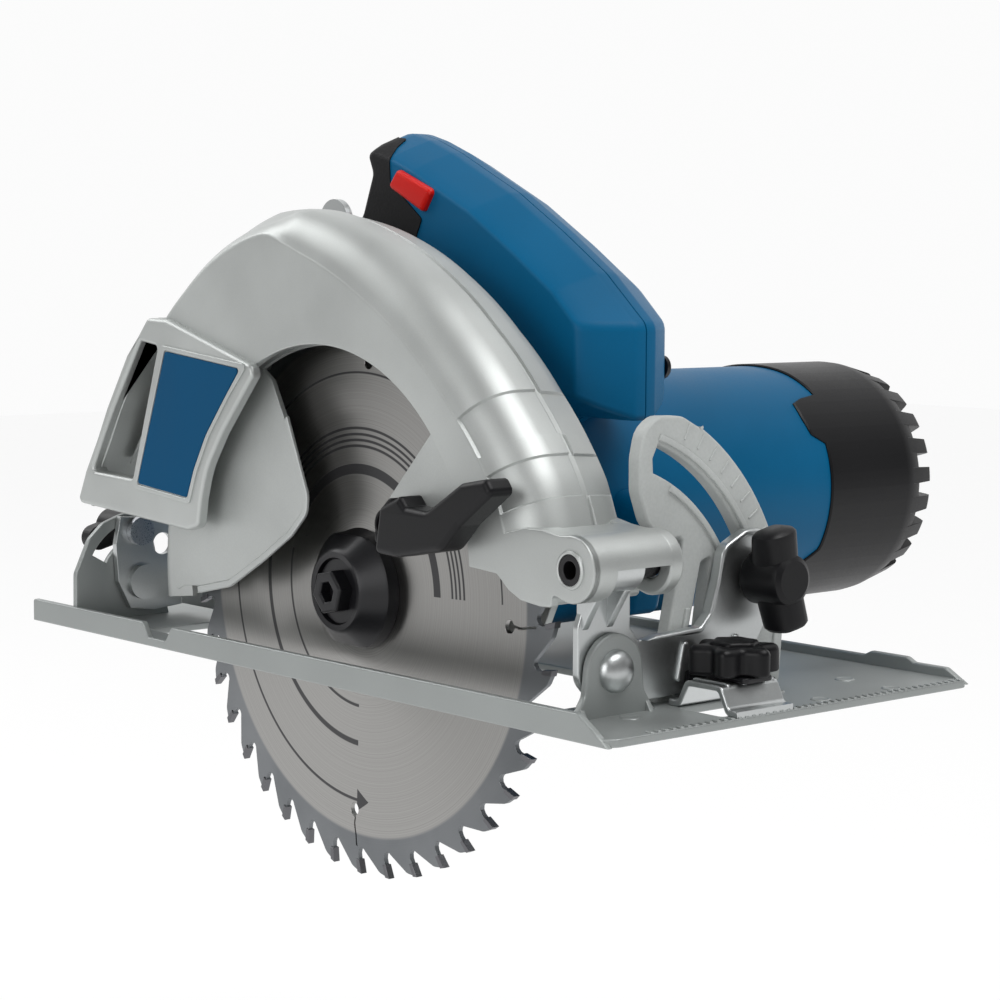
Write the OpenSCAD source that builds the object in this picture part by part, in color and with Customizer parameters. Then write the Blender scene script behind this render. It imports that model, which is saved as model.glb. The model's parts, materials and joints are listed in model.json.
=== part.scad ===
// Hand-held circular saw with a tilting base plate and an adjustable cutting depth.
// Millimetres. The origin is the centre of the base plate's sole, +X is the cutting direction,
// +Y points to the motor side and +Z is up. The saw is drawn at full depth with its lower guard held open.

/* [Blade] */
// Diameter of the saw blade over its teeth
blade_d = 190; // [184:1:190]
// Number of teeth
teeth = 40; // [24:4:48]
// Thickness of the blade's steel
blade_t = 1.8; // [1.4:0.1:2]
// Blade's middle plane, from the middle of the plate
blade_y = -50.7; // [-51:0.1:-50.4]
// Deepest cut below the sole
cut_depth = 68; // [64:1:68]
// How far the spindle sits ahead of the plate's middle
arbor_x = 9.5; // [8:0.5:11]

/* [Base plate] */
// Length along the cut
plate_l = 312; // [308:1:316]
// Width across the cut
plate_w = 157; // [157:1:162]
// Thickness of the sheet
plate_t = 2.5; // [2:0.1:3]
// Height of the flanges turned up along both sides
flange_h = 8; // [7:0.5:9]

/* [Pivots] */
// Height of the bevel axis, which runs along X in the blade's plane
bevel_z = 15.5; // [15:0.5:16]
// Depth hinge, ahead of the plate's middle
depth_x = 133; // [132.5:0.5:133.5]
// Depth hinge, above the sole
depth_z = 47; // [46:0.5:48]

/* [Drive] */
// Teeth of the pinion cut on the armature shaft
pinion_teeth = 12; // [12:1:12]
// Teeth of the gear on the spindle
gear_teeth = 48; // [48:1:48]
// Direction from the spindle up to the motor axis
motor_dir = 62.5; // [60:0.5:64]
// Outer radius of the motor housing
motor_r = 42.5; // [42:0.5:43]
// Far end of the fan cowl
cowl_end = 172; // [169:1:175]

/* [Hidden] */
$fn = 64;

blade_r = blade_d / 2;
arbor_z = blade_r - cut_depth;
gear_module = 1;
gear_gap = gear_module * (pinion_teeth + gear_teeth) / 2;
motor_x = arbor_x + gear_gap * cos(motor_dir);
motor_z = arbor_z + gear_gap * sin(motor_dir);
bevel_y = blade_y;
ear_x = 127;
ear_t = 2.5;
lug_t = 2.5;
pin_gap = 0.06;

// Upper guard: outer face, inner face and wall
guard_out = -72;
guard_in = -36;
guard_wall = 3;
nose_r = 9.6;
crown_x = -18;
crown_z = 9.5;
crown_r = 141;

// Lower guard
lower_r = 100.5;
lower_out = -65;
lower_in = -39.6;
boss_r = 22;
hub_r = 26.5;

// Bevel quadrant
quad_x = 118;
quad_t = 5;
quad_slot_r = 64;
knob_angle = 21;
foot_bolt_y = [3, 20];

// Rear bevel slot
rear_slot_r = 19;
rear_slot_angle = 95;

// Depth arc
arc_r = 193;
arc_rest = 184;

// Parallel guide clamp
guide_x = 141.5;
guide_y = -14;

// Handle
handle_w = 39;
handle_wall = 2.5;

function arc(cx, cz, r, a0, a1, steps = 24) =
    [for (i = [0:steps]) let(a = a0 + (a1 - a0) * i / steps) [cx + r * cos(a), cz + r * sin(a)]];

// Extrudes an outline drawn in X and Z from y0 to y1
module side(y0, y1) {
    translate([0, y1, 0]) rotate([90, 0, 0]) linear_extrude(y1 - y0) children();
}

// Extrudes an outline drawn in Y and Z from x0 to x1
module across(x0, x1) {
    translate([x0, 0, 0]) rotate([90, 0, 90]) linear_extrude(x1 - x0) children();
}

module ycyl(x, z, r, y0, y1, r2 = -1) {
    translate([x, y0, z]) rotate([-90, 0, 0]) cylinder(r1 = r, r2 = r2 < 0 ? r : r2, h = y1 - y0);
}

module xcyl(y, z, r, x0, x1) {
    translate([x0, y, z]) rotate([0, 90, 0]) cylinder(r = r, h = x1 - x0);
}

module yring(x, z, ro, ri, y0, y1) {
    difference() {
        ycyl(x, z, ro, y0, y1);
        ycyl(x, z, ri, y0 - 1, y1 + 1);
    }
}

// Turns a revolved section about the spindle; the section is drawn as [radius, -y]
module about_arbor(a0, sweep) {
    translate([arbor_x, 0, arbor_z]) rotate([90, 0, 0]) rotate([0, 0, a0])
        rotate_extrude(angle = sweep, $fn = 120) children();
}

function from_arbor(r, a) = [arbor_x + r * cos(a), arbor_z + r * sin(a)];
function from_bevel(r, a) = [bevel_y + r * cos(a), bevel_z + r * sin(a)];
function from_depth(r, a) = [depth_x + r * cos(a), depth_z + r * sin(a)];

// ---------- base plate and what is fixed to it ----------

module base_plate() {
    front_ear = concat([[bevel_y - 17, 0], [bevel_y - 13, 8]],
        arc(bevel_y, bevel_z, 11, 165, 15, 16), [[bevel_y + 13, 8], [bevel_y + 16, 0]]);
    rear_ear = concat([[-77, 0], [-76, 10], [-69, 31]], arc(-57, 31, 10, 160, 60, 10),
        [[-41, 30], [-39, 10], [-37, 0]]);
    color("silver") difference() {
        union() {
            translate([-plate_l / 2, -plate_w / 2, 0]) cube([plate_l, plate_w, plate_t]);
            // flange along the blade side, with its sighting notch
            side(-plate_w / 2, -plate_w / 2 + plate_t) polygon([[-plate_l / 2, 1], [plate_l / 2 - 3, 1],
                [plate_l / 2 - 13, flange_h], [-63.5, flange_h], [-67, 3], [-77, 3], [-80.5, flange_h],
                [-plate_l / 2, flange_h]]);
            // flange along the motor side
            side(plate_w / 2 - plate_t, plate_w / 2) polygon([[-plate_l / 2 + 10, 1], [plate_l / 2, 1],
                [plate_l / 2 - 8, 5.5], [134, 5.5], [131, 7], [118, 7], [115, 5.5], [-plate_l / 2 + 20, 5.5]]);
            across(ear_x, ear_x + ear_t) polygon(front_ear);
            across(-ear_x - ear_t, -ear_x) polygon(rear_ear);
        }
        // blade slot
        translate([-97, -66, -1]) cube([209, 60, plate_t + 2]);
        // rivet and bolt holes of the ears
        xcyl(bevel_y, bevel_z, 4, ear_x - 1, ear_x + ear_t + 1);
        xcyl(bevel_y, bevel_z, 4, -ear_x - ear_t - 1, -ear_x + 1);
        // curved slot of the rear ear
        across(-ear_x - ear_t - 1, -ear_x + 1) polygon(concat(
            arc(bevel_y, bevel_z, rear_slot_r + 3.3, rear_slot_angle - 12, rear_slot_angle + 57, 24),
            arc(bevel_y, bevel_z, rear_slot_r - 3.3, rear_slot_angle + 57, rear_slot_angle - 12, 24)));
        // opening under the guide bridge, and the guide bar's way out through the flange
        translate([guide_x - 9, -28, -1]) cube([18, 28, plate_t + 2]);
        translate([guide_x - 11, plate_w / 2 - plate_t - 1, plate_t]) cube([18, plate_t + 2, 2]);
    }
}

// Cast arc with the bevel slot, on two legs
module bevel_quadrant() {
    color("gainsboro") difference() {
        union() {
            across(quad_x, quad_x + quad_t) {
                polygon(concat(arc(bevel_y, bevel_z, quad_slot_r + 16, 14, 72, 24),
                    arc(bevel_y, bevel_z, quad_slot_r - 13, 72, 14, 20)));
                translate(from_bevel(quad_slot_r + 1, 66)) circle(r = 14.5);
                // legs
                polygon([[-17, 56], [-9, 46], [-19, plate_t], [-27.5, plate_t]]);
                polygon([[-6, 47], [0, 39], [-4, plate_t], [-12, plate_t]]);
                polygon([from_bevel(79, 16), from_bevel(56, 16), [9, plate_t], [25, plate_t]]);
            }
            // foot on the plate
            translate([quad_x - 4, -28, plate_t]) cube([4 + quad_t, 25, 3]);
            translate([quad_x - 14, -4, plate_t]) cube([14 + quad_t, 30, 3]);
        }
        across(quad_x - 1, quad_x + quad_t + 1) {
            polygon(concat(
                arc(bevel_y, bevel_z, quad_slot_r + 4.2, knob_angle - 4, knob_angle + 49, 24),
                arc(bevel_y, bevel_z, quad_slot_r - 4.2, knob_angle + 49, knob_angle - 4, 24)));
            // room for the guard as the head swings up
            translate([-80, 10]) square([80 + guard_in + 0.8, 90]);
        }
        for (y = foot_bolt_y) translate([quad_x - 8, y, 0]) cylinder(r = 2.6, h = 10);
    }
}

// Hex-head bolts that hold the quadrant's foot
module quadrant_bolts() {
    color("lightgray") for (y = foot_bolt_y) translate([quad_x - 8, y, plate_t]) {
        cylinder(r = 2.5, h = 4);
        translate([0, 0, 3]) cylinder(r = 4.6, h = 3.2, $fn = 6);
    }
}

// Arched strap that the parallel guide's bar passes under
module guide_bridge() {
    color("silver") difference() {
        side(-27, -3) polygon([[127.2, plate_t], [132, plate_t], [135.5, 9], [147.5, 9], [151, plate_t],
            [155.6, plate_t], [155.6, plate_t + 1.8], [152.1, plate_t + 1.8], [148.9, 11], [134.1, 11],
            [130.9, plate_t + 1.8], [127.2, plate_t + 1.8]]);
        translate([guide_x, guide_y, 0]) cylinder(r = 4, h = 20);
    }
}

// Domed rivet in the front ear and shouldered bolt in the rear ear, the two ends of the bevel axis
module bevel_rivets() {
    tail = ear_x - lug_t - 2;
    color("lightsteelblue") {
        xcyl(bevel_y, bevel_z, 4, tail, ear_x + ear_t);
        xcyl(bevel_y, bevel_z, 6, tail - 1.5, tail);
        translate([ear_x + ear_t, bevel_y, bevel_z]) rotate([0, 90, 0]) rotate_extrude()
            polygon(concat([[0, 0]], arc(0, -3.4, 7.4, 27.4, 90, 8)));
        xcyl(bevel_y, bevel_z, 4, -ear_x - ear_t, -tail);
        xcyl(bevel_y, bevel_z, 6.4, -tail, -tail + 3);
        xcyl(bevel_y, bevel_z, 6, -ear_x - ear_t - 2, -ear_x - ear_t);
    }
}

// ---------- clamp knobs ----------

module guide_knob() {
    color("black") translate([guide_x, guide_y, 13]) {
        difference() {
            union() {
                cylinder(r = 11, h = 8);
                for (i = [0:5]) rotate(i * 60) translate([9.4, 0, 0]) cylinder(r = 3.9, h = 8, $fn = 32);
            }
            translate([0, 0, -1]) cylinder(r = 3, h = 7);
        }
    }
    color("lightgray") translate([guide_x, guide_y, 6]) cylinder(r = 3, h = 13);
}

// Black clamp strip between the knob and the bridge
module guide_clamp() {
    color("dimgray") difference() {
        translate([128, -20, 11]) cube([24, 12, 1.8]);
        translate([guide_x, guide_y, 0]) cylinder(r = 3.4, h = 20);
    }
}

knob_at = from_bevel(quad_slot_r, knob_angle);
rear_knob_at = from_bevel(rear_slot_r, rear_slot_angle);

// Wing knob drawn along +X from its clamping face
module wing_knob(hub_r, hub_l, wing_r, wing_l) {
    difference() {
        union() {
            rotate([0, 90, 0]) cylinder(r = hub_r, h = hub_l);
            for (s = [-1, 1]) hull() {
                translate([hub_l * 0.25, 0, 0]) rotate([0, 90, 0])
                    cylinder(r = hub_r * 0.6, h = hub_l * 0.6, $fn = 32);
                translate([hub_l * 0.55, 0, s * wing_r]) rotate([0, 90, 0])
                    cylinder(r = wing_l, h = hub_l * 0.4, $fn = 32);
            }
        }
        rotate([0, 90, 0]) translate([0, 0, -1]) cylinder(r = 3 + pin_gap, h = hub_l - 3);
    }
}

module front_bevel_knob() {
    color("black") translate([ear_x + 1.2, knob_at[0], knob_at[1]]) rotate([12, 0, 0])
        wing_knob(9, 16, 11.8, 5.6);
}

// Carriage bolt through the slot of the quadrant
module front_bevel_bolt() {
    color("lightgray") {
        xcyl(knob_at[0], knob_at[1], 3, quad_x - 1, ear_x + 12);
        translate([quad_x - 2.2, knob_at[0] - 5.5, knob_at[1] - 5.5]) cube([1.8, 11, 11]);
        xcyl(knob_at[0], knob_at[1], 3.9, quad_x - 1, quad_x + quad_t - 1);
    }
}

module rear_bevel_knob() {
    color("black") translate([-ear_x - ear_t - 0.4, rear_knob_at[0], rear_knob_at[1]]) rotate([70, 0, 180])
        wing_knob(7, 13, 9.5, 4.5);
}

module rear_bevel_bolt() {
    color("lightgray") {
        xcyl(rear_knob_at[0], rear_knob_at[1], 3, -ear_x - ear_t - 9, -ear_x + lug_t + 0.4);
        xcyl(rear_knob_at[0], rear_knob_at[1], 5.2, -ear_x + lug_t + 0.4, -ear_x + lug_t + 3);
    }
}

// ---------- bevel carriage ----------

eye_y0 = -61.6;
eye_y1 = -49.4;

// Zinc-plated steel bracket: lug on the front rivet, arm to the quadrant, upright to the depth hinge
module front_bracket() {
    lug_x = ear_x - lug_t - 0.3;
    color("lightsteelblue") difference() {
        union() {
            across(lug_x, lug_x + lug_t) {
                polygon([[-63, 13], [-56, 5.5], [-45, 4.2], [4, 6], [17, 26], [17, 46], [12, 51], [4, 51],
                    [-4, 47], [-9, 29], [-14, 23], [-40, 23], [-42, 27], [-42, 36], [eye_y1, 36], [eye_y1, 42],
                    [eye_y0 + 0.1, 42], [eye_y0 + 0.1, 33], [-63, 29]]);
                translate(from_bevel(0, 0)) circle(r = 11);
            }
            // upright folded forward to the hinge eye
            for (y = [eye_y0, eye_y1 - lug_t]) side(y, y + lug_t) {
                polygon([[lug_x, 28], [lug_x + 6, 28], [depth_x - 1, depth_z - 8], [depth_x - 5, depth_z + 5.5],
                    [lug_x, 42]]);
                translate([depth_x, depth_z]) circle(r = 7.5);
            }
            ycyl(depth_x, depth_z, 7.5, eye_y0, eye_y1);
        }
        xcyl(bevel_y, bevel_z, 4 + pin_gap, lug_x - 1, lug_x + lug_t + 1);
        xcyl(knob_at[0], knob_at[1], 3.3, lug_x - 1, lug_x + lug_t + 1);
        ycyl(depth_x, depth_z, 4.5 + pin_gap, eye_y0 - 1, eye_y1 + 1);
    }
}

module depth_pivot_pin() {
    color("dimgray") yring(depth_x, depth_z, 4.5, 2.6, guard_out - 0.4, -40.5);
}

// Zinc-plated steel bracket on the rear bolt, with the strap that carries the depth arc
module rear_bracket() {
    x0 = -ear_x + 0.3;
    color("lightsteelblue") difference() {
        union() {
            across(x0, x0 + lug_t) polygon([[-61, 16], [-56, 6], [-46, 4.6], [-31.5, 6], [-31.5, 38], [-60, 40],
                [-62, 30]]);
            side(-34, -31.5) polygon([[x0, 6], [-62, 6], [-48, 11], [-48, 23.5], [-57, 23.5], [-66, 19],
                [x0, 19]]);
        }
        xcyl(bevel_y, bevel_z, 4 + pin_gap, x0 - 1, x0 + lug_t + 1);
        xcyl(rear_knob_at[0], rear_knob_at[1], 3.3, x0 - 1, x0 + lug_t + 1);
        xcyl(-42, 29, 4, x0 - 1, x0 + lug_t + 1);
        for (x = [-53, -61]) ycyl(x, 17, 2.05, -36, -30);
    }
}

// Slotted arc that the depth clamp slides along
module depth_arc() {
    a_low = arc_rest + 3.5;
    a_top = arc_rest - 35;
    color("silver") difference() {
        side(-31.4, -29) {
            polygon(concat(arc(depth_x, depth_z, arc_r + 8, a_top, a_low, 24),
                arc(depth_x, depth_z, arc_r - 8, a_low, a_top, 24)));
            translate(from_depth(arc_r, a_top)) circle(r = 8);
            polygon([from_depth(arc_r + 8, a_low - 1), [-65, 11], [-49, 11], from_depth(arc_r - 8, a_low - 1)]);
        }
        side(-32, -28) {
            polygon(concat(arc(depth_x, depth_z, arc_r + 3.3, a_top, arc_rest, 24),
                arc(depth_x, depth_z, arc_r - 3.3, arc_rest, a_top, 24)));
            translate(from_depth(arc_r, a_top)) circle(r = 3.3);
            translate(from_depth(arc_r, arc_rest)) circle(r = 3.3);
        }
        for (x = [-53, -61]) ycyl(x, 17, 2.05, -36, -28);
    }
}

module bracket_rivets() {
    color("lightgray") for (x = [-53, -61]) {
        ycyl(x, 17, 2, -34, -29);
        ycyl(x, 17, 3.6, -35, -34);
        ycyl(x, 17, 3.6, -29, -28);
    }
}

// ---------- guards ----------

module guard_outline() {
    rear = [[-37, 145.2], [-52, 136.5], [-65, 126], [-76, 114.5], [-82, 113], [-90, 105.5], [-108, 81.5],
        [-129, 49], [-130, 44]];
    window_edge = [[-56, 42], [-48, 30], [70, 30], [83, 42], [97, 41], [105, 34.5], [120, 34.5], [120.4, 39.4]];
    polygon(concat(arc(crown_x, crown_z, crown_r, 32.3, 92, 30), rear, window_edge,
        arc(depth_x, depth_z, nose_r, -100, 96, 18), [[123, 59.5], [120.5, 62.5]]));
}

// What the guard leaves open on the blade's outer side, so that the blade can be seen and changed
module guard_window() {
    translate([arbor_x + 3, arbor_z + 2]) circle(r = 78, $fn = 96);
    polygon([[-56, 60], [-56, 0], [84, 0], [84, 60]]);
}

module chute_outline() {
    polygon([[-86, 105], [-75, 103], [-92, 57], [-118, 59]]);
}

module chip_box() {
    polygon([[-83, 113.5], [-66, 113], [-20, 99.5], [-19, 96], [-33, 80], [-46.3, 63.3], [-51.4, 43.6],
        [-58, 42], [-130, 46]]);
}

module upper_guard() {
    color("silver") difference() {
        union() {
            side(guard_out, guard_in) guard_outline();
            // inner wall, carried down past the spindle
            side(guard_in - guard_wall, guard_in) polygon([[-78, 44], [-74, 16], [-30, 10], [-24, 1], [38, 1],
                [48, 14], [84, 20], [95, 42]]);
        }
        // blade space, open below
        side(guard_out + guard_wall, guard_in - guard_wall) {
            offset(delta = -guard_wall) guard_outline();
            polygon([[-128, 50], [-128, 0], [106, 0], [106, 60]]);
        }
        // the nose is open below, round the hinge eye
        side(-62, -49) {
            translate([depth_x, depth_z]) circle(r = 8);
            polygon([[106, 30], [148, 30], [148, 47], [125, 47], [121, 54], [106, 60]]);
        }
        side(guard_out - 1, guard_out + guard_wall + 1) guard_window();
        side(guard_out - 5, guard_out + guard_wall + 1) chute_outline();
        ycyl(arbor_x, arbor_z, boss_r + 0.3, guard_in - 5, guard_in + 1);
        // recess for the return spring
        ycyl(arbor_x, arbor_z, hub_r + 1.5, guard_in - guard_wall - 1, guard_in - 1);
        ycyl(depth_x, depth_z, 4.5 + pin_gap, guard_out - 1, guard_in + 1);
        for (a = screw_angles)
            ycyl(from_arbor(screw_r, a)[0], from_arbor(screw_r, a)[1], 2.1, guard_in - 5, guard_in + 1);
        ycyl(clamp_at[0], clamp_at[1], 3.3, guard_in - 5, guard_in + 1);
    }
    // chip box, which overhangs the window's edge
    color("silver") difference() {
        side(guard_out - 3, guard_out + 0.8) chip_box();
        side(guard_out - 4, guard_out + guard_wall) chute_outline();
    }
    color("silver") {
        yring(depth_x, depth_z, nose_r + 0.4, 4.5 + pin_gap, guard_out, -62);
        yring(depth_x, depth_z, nose_r + 0.4, 4.5 + pin_gap, -49, -42);
    }
}

// Blank panel set in the chip box
module label_plate() {
    color("royalblue") side(guard_out - 3.6, guard_out - 3)
        polygon([[-69, 101], [-28, 98], [-51, 78], [-64, 55], [-87, 57]]);
}

lever_at = from_arbor(53, 30);

module lower_guard() {
    span_start = 28;
    span = 159;
    color("gainsboro") difference() {
        union() {
            about_arbor(span_start, span) polygon([[80, 63.5], [92.5, 63.5], [99, 58], [99, 41.6],
                [boss_r + 2, 41.6], [boss_r + 2, 39.6], [lower_r, 39.6], [lower_r, 58.8], [93.2, 65],
                [80, 65]]);
            yring(arbor_x, arbor_z, hub_r, boss_r + pin_gap, -41.6, lower_in);
            // leading fin
            side(lower_out, lower_out + 1.5) polygon(concat([from_arbor(74, 116), from_arbor(63, 113),
                from_arbor(49, 112), from_arbor(38, 116), from_arbor(31, 130), from_arbor(31, 145),
                from_arbor(39, 168), from_arbor(53, 184), from_arbor(72, 190), from_arbor(81, 189)],
                arc(arbor_x, arbor_z, 81, 188, 118, 14)));
            // arm under the lever
            side(lower_out, lower_out + 1.5) polygon([from_arbor(82, 30), from_arbor(82, 47),
                from_arbor(60, 46),
                from_arbor(38, 44), from_arbor(38, 30), from_arbor(58, 22), from_arbor(72, 25)]);
        }
        ycyl(lever_at[0], lever_at[1], 2.1, -70, -60);
    }
}

// Thumb lever that opens the lower guard by hand
module guard_lever() {
    color("black") difference() {
        union() {
            side(-70, lower_out) polygon([[40, 48], [50, 61], [58, 62], [62, 55], [62, 45], [46, 43.5]]);
            side(-77, -70) polygon([[50, 46], [50, 57], [57, 61.5], [62, 56], [62, 45]]);
            side(-86, -76.4) polygon([[51, 46], [62, 59.5], [72, 64], [75, 61], [84.6, 60.5], [100.5, 70],
                [111.5, 72], [114.6, 68], [99.7, 57.4], [91, 48.5]]);
        }
        ycyl(lever_at[0], lever_at[1], 2.1, -71, -60);
        ycyl(lever_at[0], lever_at[1], 4.2, -87, -70);
    }
}

module lever_screw() {
    color("lightgray") {
        ycyl(lever_at[0], lever_at[1], 2.05, -70, -63);
        ycyl(lever_at[0], lever_at[1], 4, -71.6, -70);
    }
}

// Retaining ring that keeps the lower guard on its boss
module guard_circlip() {
    color("dimgray") difference() {
        yring(arbor_x, arbor_z, boss_r + 2.5, boss_r, -43.3, -42.2);
        translate([arbor_x - 3, -44, arbor_z - boss_r - 4]) cube([6, 3, 8]);
    }
}

// Torsion spring that closes the lower guard
module guard_spring() {
    color("dimgray") about_arbor(0, 330) translate([boss_r + 3.5, 38.2]) circle(r = 0.7, $fn = 16);
}

// ---------- gear housing ----------

screw_angles = [-28, 162, 208];
screw_r = 30.6;
clamp_at = from_depth(arc_r, arc_rest);

module gear_outline(grow = 0) {
    hull() {
        translate([arbor_x, arbor_z]) circle(r = 26.6 + grow);
        translate([motor_x, motor_z]) circle(r = 29 + grow);
    }
}

module gear_housing() {
    color("silver") difference() {
        union() {
            side(guard_in, -12) gear_outline();
            ycyl(arbor_x, arbor_z, boss_r, -43.5, guard_in);
            for (a = screw_angles)
                ycyl(from_arbor(screw_r, a)[0], from_arbor(screw_r, a)[1], 5, guard_in, -30);
        }
        ycyl(arbor_x, arbor_z, 25.4, -32, -11);
        ycyl(motor_x, motor_z, 22, -32, -11);
        ycyl(arbor_x, arbor_z, 16, -42, -31);
        ycyl(arbor_x, arbor_z, 11, -45, -41);
        for (a = screw_angles)
            ycyl(from_arbor(screw_r, a)[0], from_arbor(screw_r, a)[1], 2.1, -40, -29);
    }
}

module guard_screws() {
    color("lightgray") for (a = screw_angles) {
        at = from_arbor(screw_r, a);
        ycyl(at[0], at[1], 2, -38.5, -30);
        ycyl(at[0], at[1], 3.8, -30, -27);
    }
}

// Closes the gear housing and holds the rear bush and the armature's front bearing
module bearing_flange() {
    color("silver") difference() {
        union() {
            side(-12, -8) gear_outline();
            ycyl(arbor_x, arbor_z, 11, -18, -11);
            ycyl(motor_x, motor_z, 14, -16, -5);
        }
        ycyl(arbor_x, arbor_z, 8, -19, -9.5);
        ycyl(motor_x, motor_z, 11, -14, -4);
        ycyl(motor_x, motor_z, 6, -17, -4);
    }
}

module spindle_bearing() {
    color("lightgray") yring(arbor_x, arbor_z, 16, 7.5 + pin_gap, -42, -33);
}

module spindle_bush() {
    color("goldenrod") yring(arbor_x, arbor_z, 8, 5 + pin_gap, -18, -9.6);
}

module armature_bearings() {
    color("lightgray") {
        yring(motor_x, motor_z, 11, 4 + pin_gap, -13.8, -6);
        yring(motor_x, motor_z, 11, 4 + pin_gap, 140, 147);
    }
}

// ---------- motor ----------

lock_y = 14;
lock_z = motor_z - 2.6;

module motor_housing() {
    color("steelblue") difference() {
        union() {
            ycyl(motor_x, motor_z, motor_r, -33, 112);
            xcyl(lock_y, lock_z, 9, motor_x + 30, 84);
        }
        ycyl(motor_x, motor_z, motor_r - 2.5, -34, 113);
        side(-36, -7.8) gear_outline(0.2);
        ycyl(arbor_x, arbor_z, 40, -36, -26.5);
        xcyl(lock_y, lock_z, 6.2, motor_x + 20, 85);
        // air outlets beside the fan
        for (a = [200:14:340]) translate([motor_x, 0, motor_z]) rotate([0, -a, 0])
            translate([motor_r - 5, -4, -2.5]) cube([10, 12, 5]);
    }
    // ring that carries the stator
    color("steelblue") difference() {
        yring(motor_x, motor_z, motor_r - 2.5, 37.8, 26, 80);
        for (a = [45:90:315]) translate([motor_x, 0, motor_z]) rotate([0, -a, 0])
            translate([34, 20, -6]) cube([8, 70, 12]);
    }
}

cowl_r = motor_r + 0.8;
cowl_screw_r = 24;

// Fan cowl with a ring of air fins round its end
module fan_cowl() {
    fins = 24;
    color([0.1, 0.1, 0.1]) difference() {
        union() {
            ycyl(motor_x, motor_z, cowl_r, 112, 150);
            ycyl(motor_x, motor_z, cowl_r, 150, cowl_end, cowl_r - 4);
            ycyl(motor_x, motor_z, motor_r - 2.7, 106, 113);
        }
        ycyl(motor_x, motor_z, motor_r - 5, 105, 149);
        ycyl(motor_x, motor_z, cowl_r - 9, 148, 160);
        for (i = [0:fins - 1]) translate([motor_x, 0, motor_z]) rotate([0, i * 360 / fins, 0])
            translate([28, cowl_end - 12, -2.2]) cube([20, 13, 4.4]);
        for (a = [45:90:315]) translate([motor_x, 0, motor_z]) rotate([0, a, 0])
            translate([cowl_screw_r, 0, 0]) {
                translate([0, cowl_end - 4, 0]) rotate([-90, 0, 0]) cylinder(r = 3.5, h = 5);
                translate([0, cowl_end - 5.5, 0]) rotate([-90, 0, 0]) cylinder(r = 2.1, h = 2);
            }
    }
    // bearing seat
    color([0.1, 0.1, 0.1]) difference() {
        ycyl(motor_x, motor_z, 14, 140, 161);
        ycyl(motor_x, motor_z, 11, 139, 147);
        ycyl(motor_x, motor_z, 5, 139, 152);
    }
    color([0.1, 0.1, 0.1]) for (a = [0:90:270]) translate([motor_x, 0, motor_z]) rotate([0, a, 0])
        translate([13, 141, -2]) cube([25, 7, 4]);
}

module cowl_screws() {
    color("lightgray") for (a = [45:90:315]) translate([motor_x, 0, motor_z]) rotate([0, a, 0]) {
        translate([cowl_screw_r, 0, 0]) {
            translate([0, cowl_end - 4, 0]) rotate([-90, 0, 0]) cylinder(r = 3.4, h = 3);
            translate([0, cowl_end - 5, 0]) rotate([-90, 0, 0]) cylinder(r = 2, h = 2);
        }
    }
}

module stator_core() {
    color("dimgray") difference() {
        yring(motor_x, motor_z, 37.6, 25, 28, 78);
        for (a = [0, 180]) translate([motor_x, 0, motor_z]) rotate([0, a, 0])
            translate([22, 27, -12]) cube([11, 52, 24]);
    }
}

module field_coils() {
    color("peru") difference() {
        union() {
            yring(motor_x, motor_z, 36, 26, 18, 27.8);
            yring(motor_x, motor_z, 36, 26, 78.2, 90);
        }
        for (a = [45:90:315]) translate([motor_x, 0, motor_z]) rotate([0, a, 0])
            translate([24, 17, -3]) cube([14, 74, 6]);
    }
}

module brush_holders() {
    color("goldenrod") for (s = [-1, 1]) difference() {
        translate([motor_x + s * 25.8 - 11, 101, motor_z - 6]) cube([22, 10, 12]);
        translate([motor_x + s * 25.8 - 12, 103, motor_z - 4]) cube([24, 6, 8]);
    }
}

module carbon_brushes() {
    color([0.2, 0.2, 0.2]) for (s = [-1, 1])
        translate([motor_x + s * 21.6 - 8, 103.2, motor_z - 3.8]) cube([16, 5.6, 7.6]);
}

// ---------- handle ----------

module handle_outline() {
    polygon([[88, 84], [88.5, 114], [70, 131], [50, 144], [28, 156.5], [-2, 170], [-20, 176.5], [-31, 178.8],
        [-38, 172], [-33.5, 163], [-42, 147], [-72, 104], [-92, 88], [-95, 70], [-86, 62], [-22, 58], [10, 60],
        [60, 84]]);
}

module handle_hole() {
    polygon([[24, 102], [24, 111], [2, 129], [-8, 134], [-15, 131], [-39, 97], [-38, 89], [-32, 85],
        [-14, 82], [-4, 92], [8, 99]]);
}

module grip_zone() {
    polygon([[-27, 169.5], [-19, 168.5], [-18.5, 158], [-14.5, 155.6], [2, 148], [-6, 128], [-39, 96], [-52, 90],
        [-84, 104], [-40, 170]]);
}

lock_off_at = [-3, 157];
trigger_mid = [-27, 114];
trigger_tilt = -34;

module handle_shell(y0, y1, cut0, cut1) {
    difference() {
        side(y0, y1) difference() {
            handle_outline();
            handle_hole();
        }
        side(cut0, cut1) offset(delta = -handle_wall) difference() {
            handle_outline();
            handle_hole();
        }
        ycyl(motor_x, motor_z, motor_r, y0 - 1, y1 + 1);
        // trigger slot through the inner face of the grip
        translate([trigger_mid[0], 0, trigger_mid[1]]) rotate([0, -trigger_tilt, 0])
            translate([-8, -6.4, -18]) cube([20, 12.8, 36]);
        xcyl(0, 76, 6.5, -100, -88);
    }
}

module handle_right() {
    color("steelblue") difference() {
        handle_shell(-handle_w / 2, 0, -handle_w / 2 + handle_wall, 1);
        translate([lock_off_at[0], -handle_w / 2 - 1, lock_off_at[1]]) rotate([0, 22, 0])
            translate([-10.3, 0, -4.3]) cube([20.6, 6, 8.6]);
        side(-handle_w / 2 - 1, -handle_w / 2 + 1.2) grip_zone();
    }
}

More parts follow.
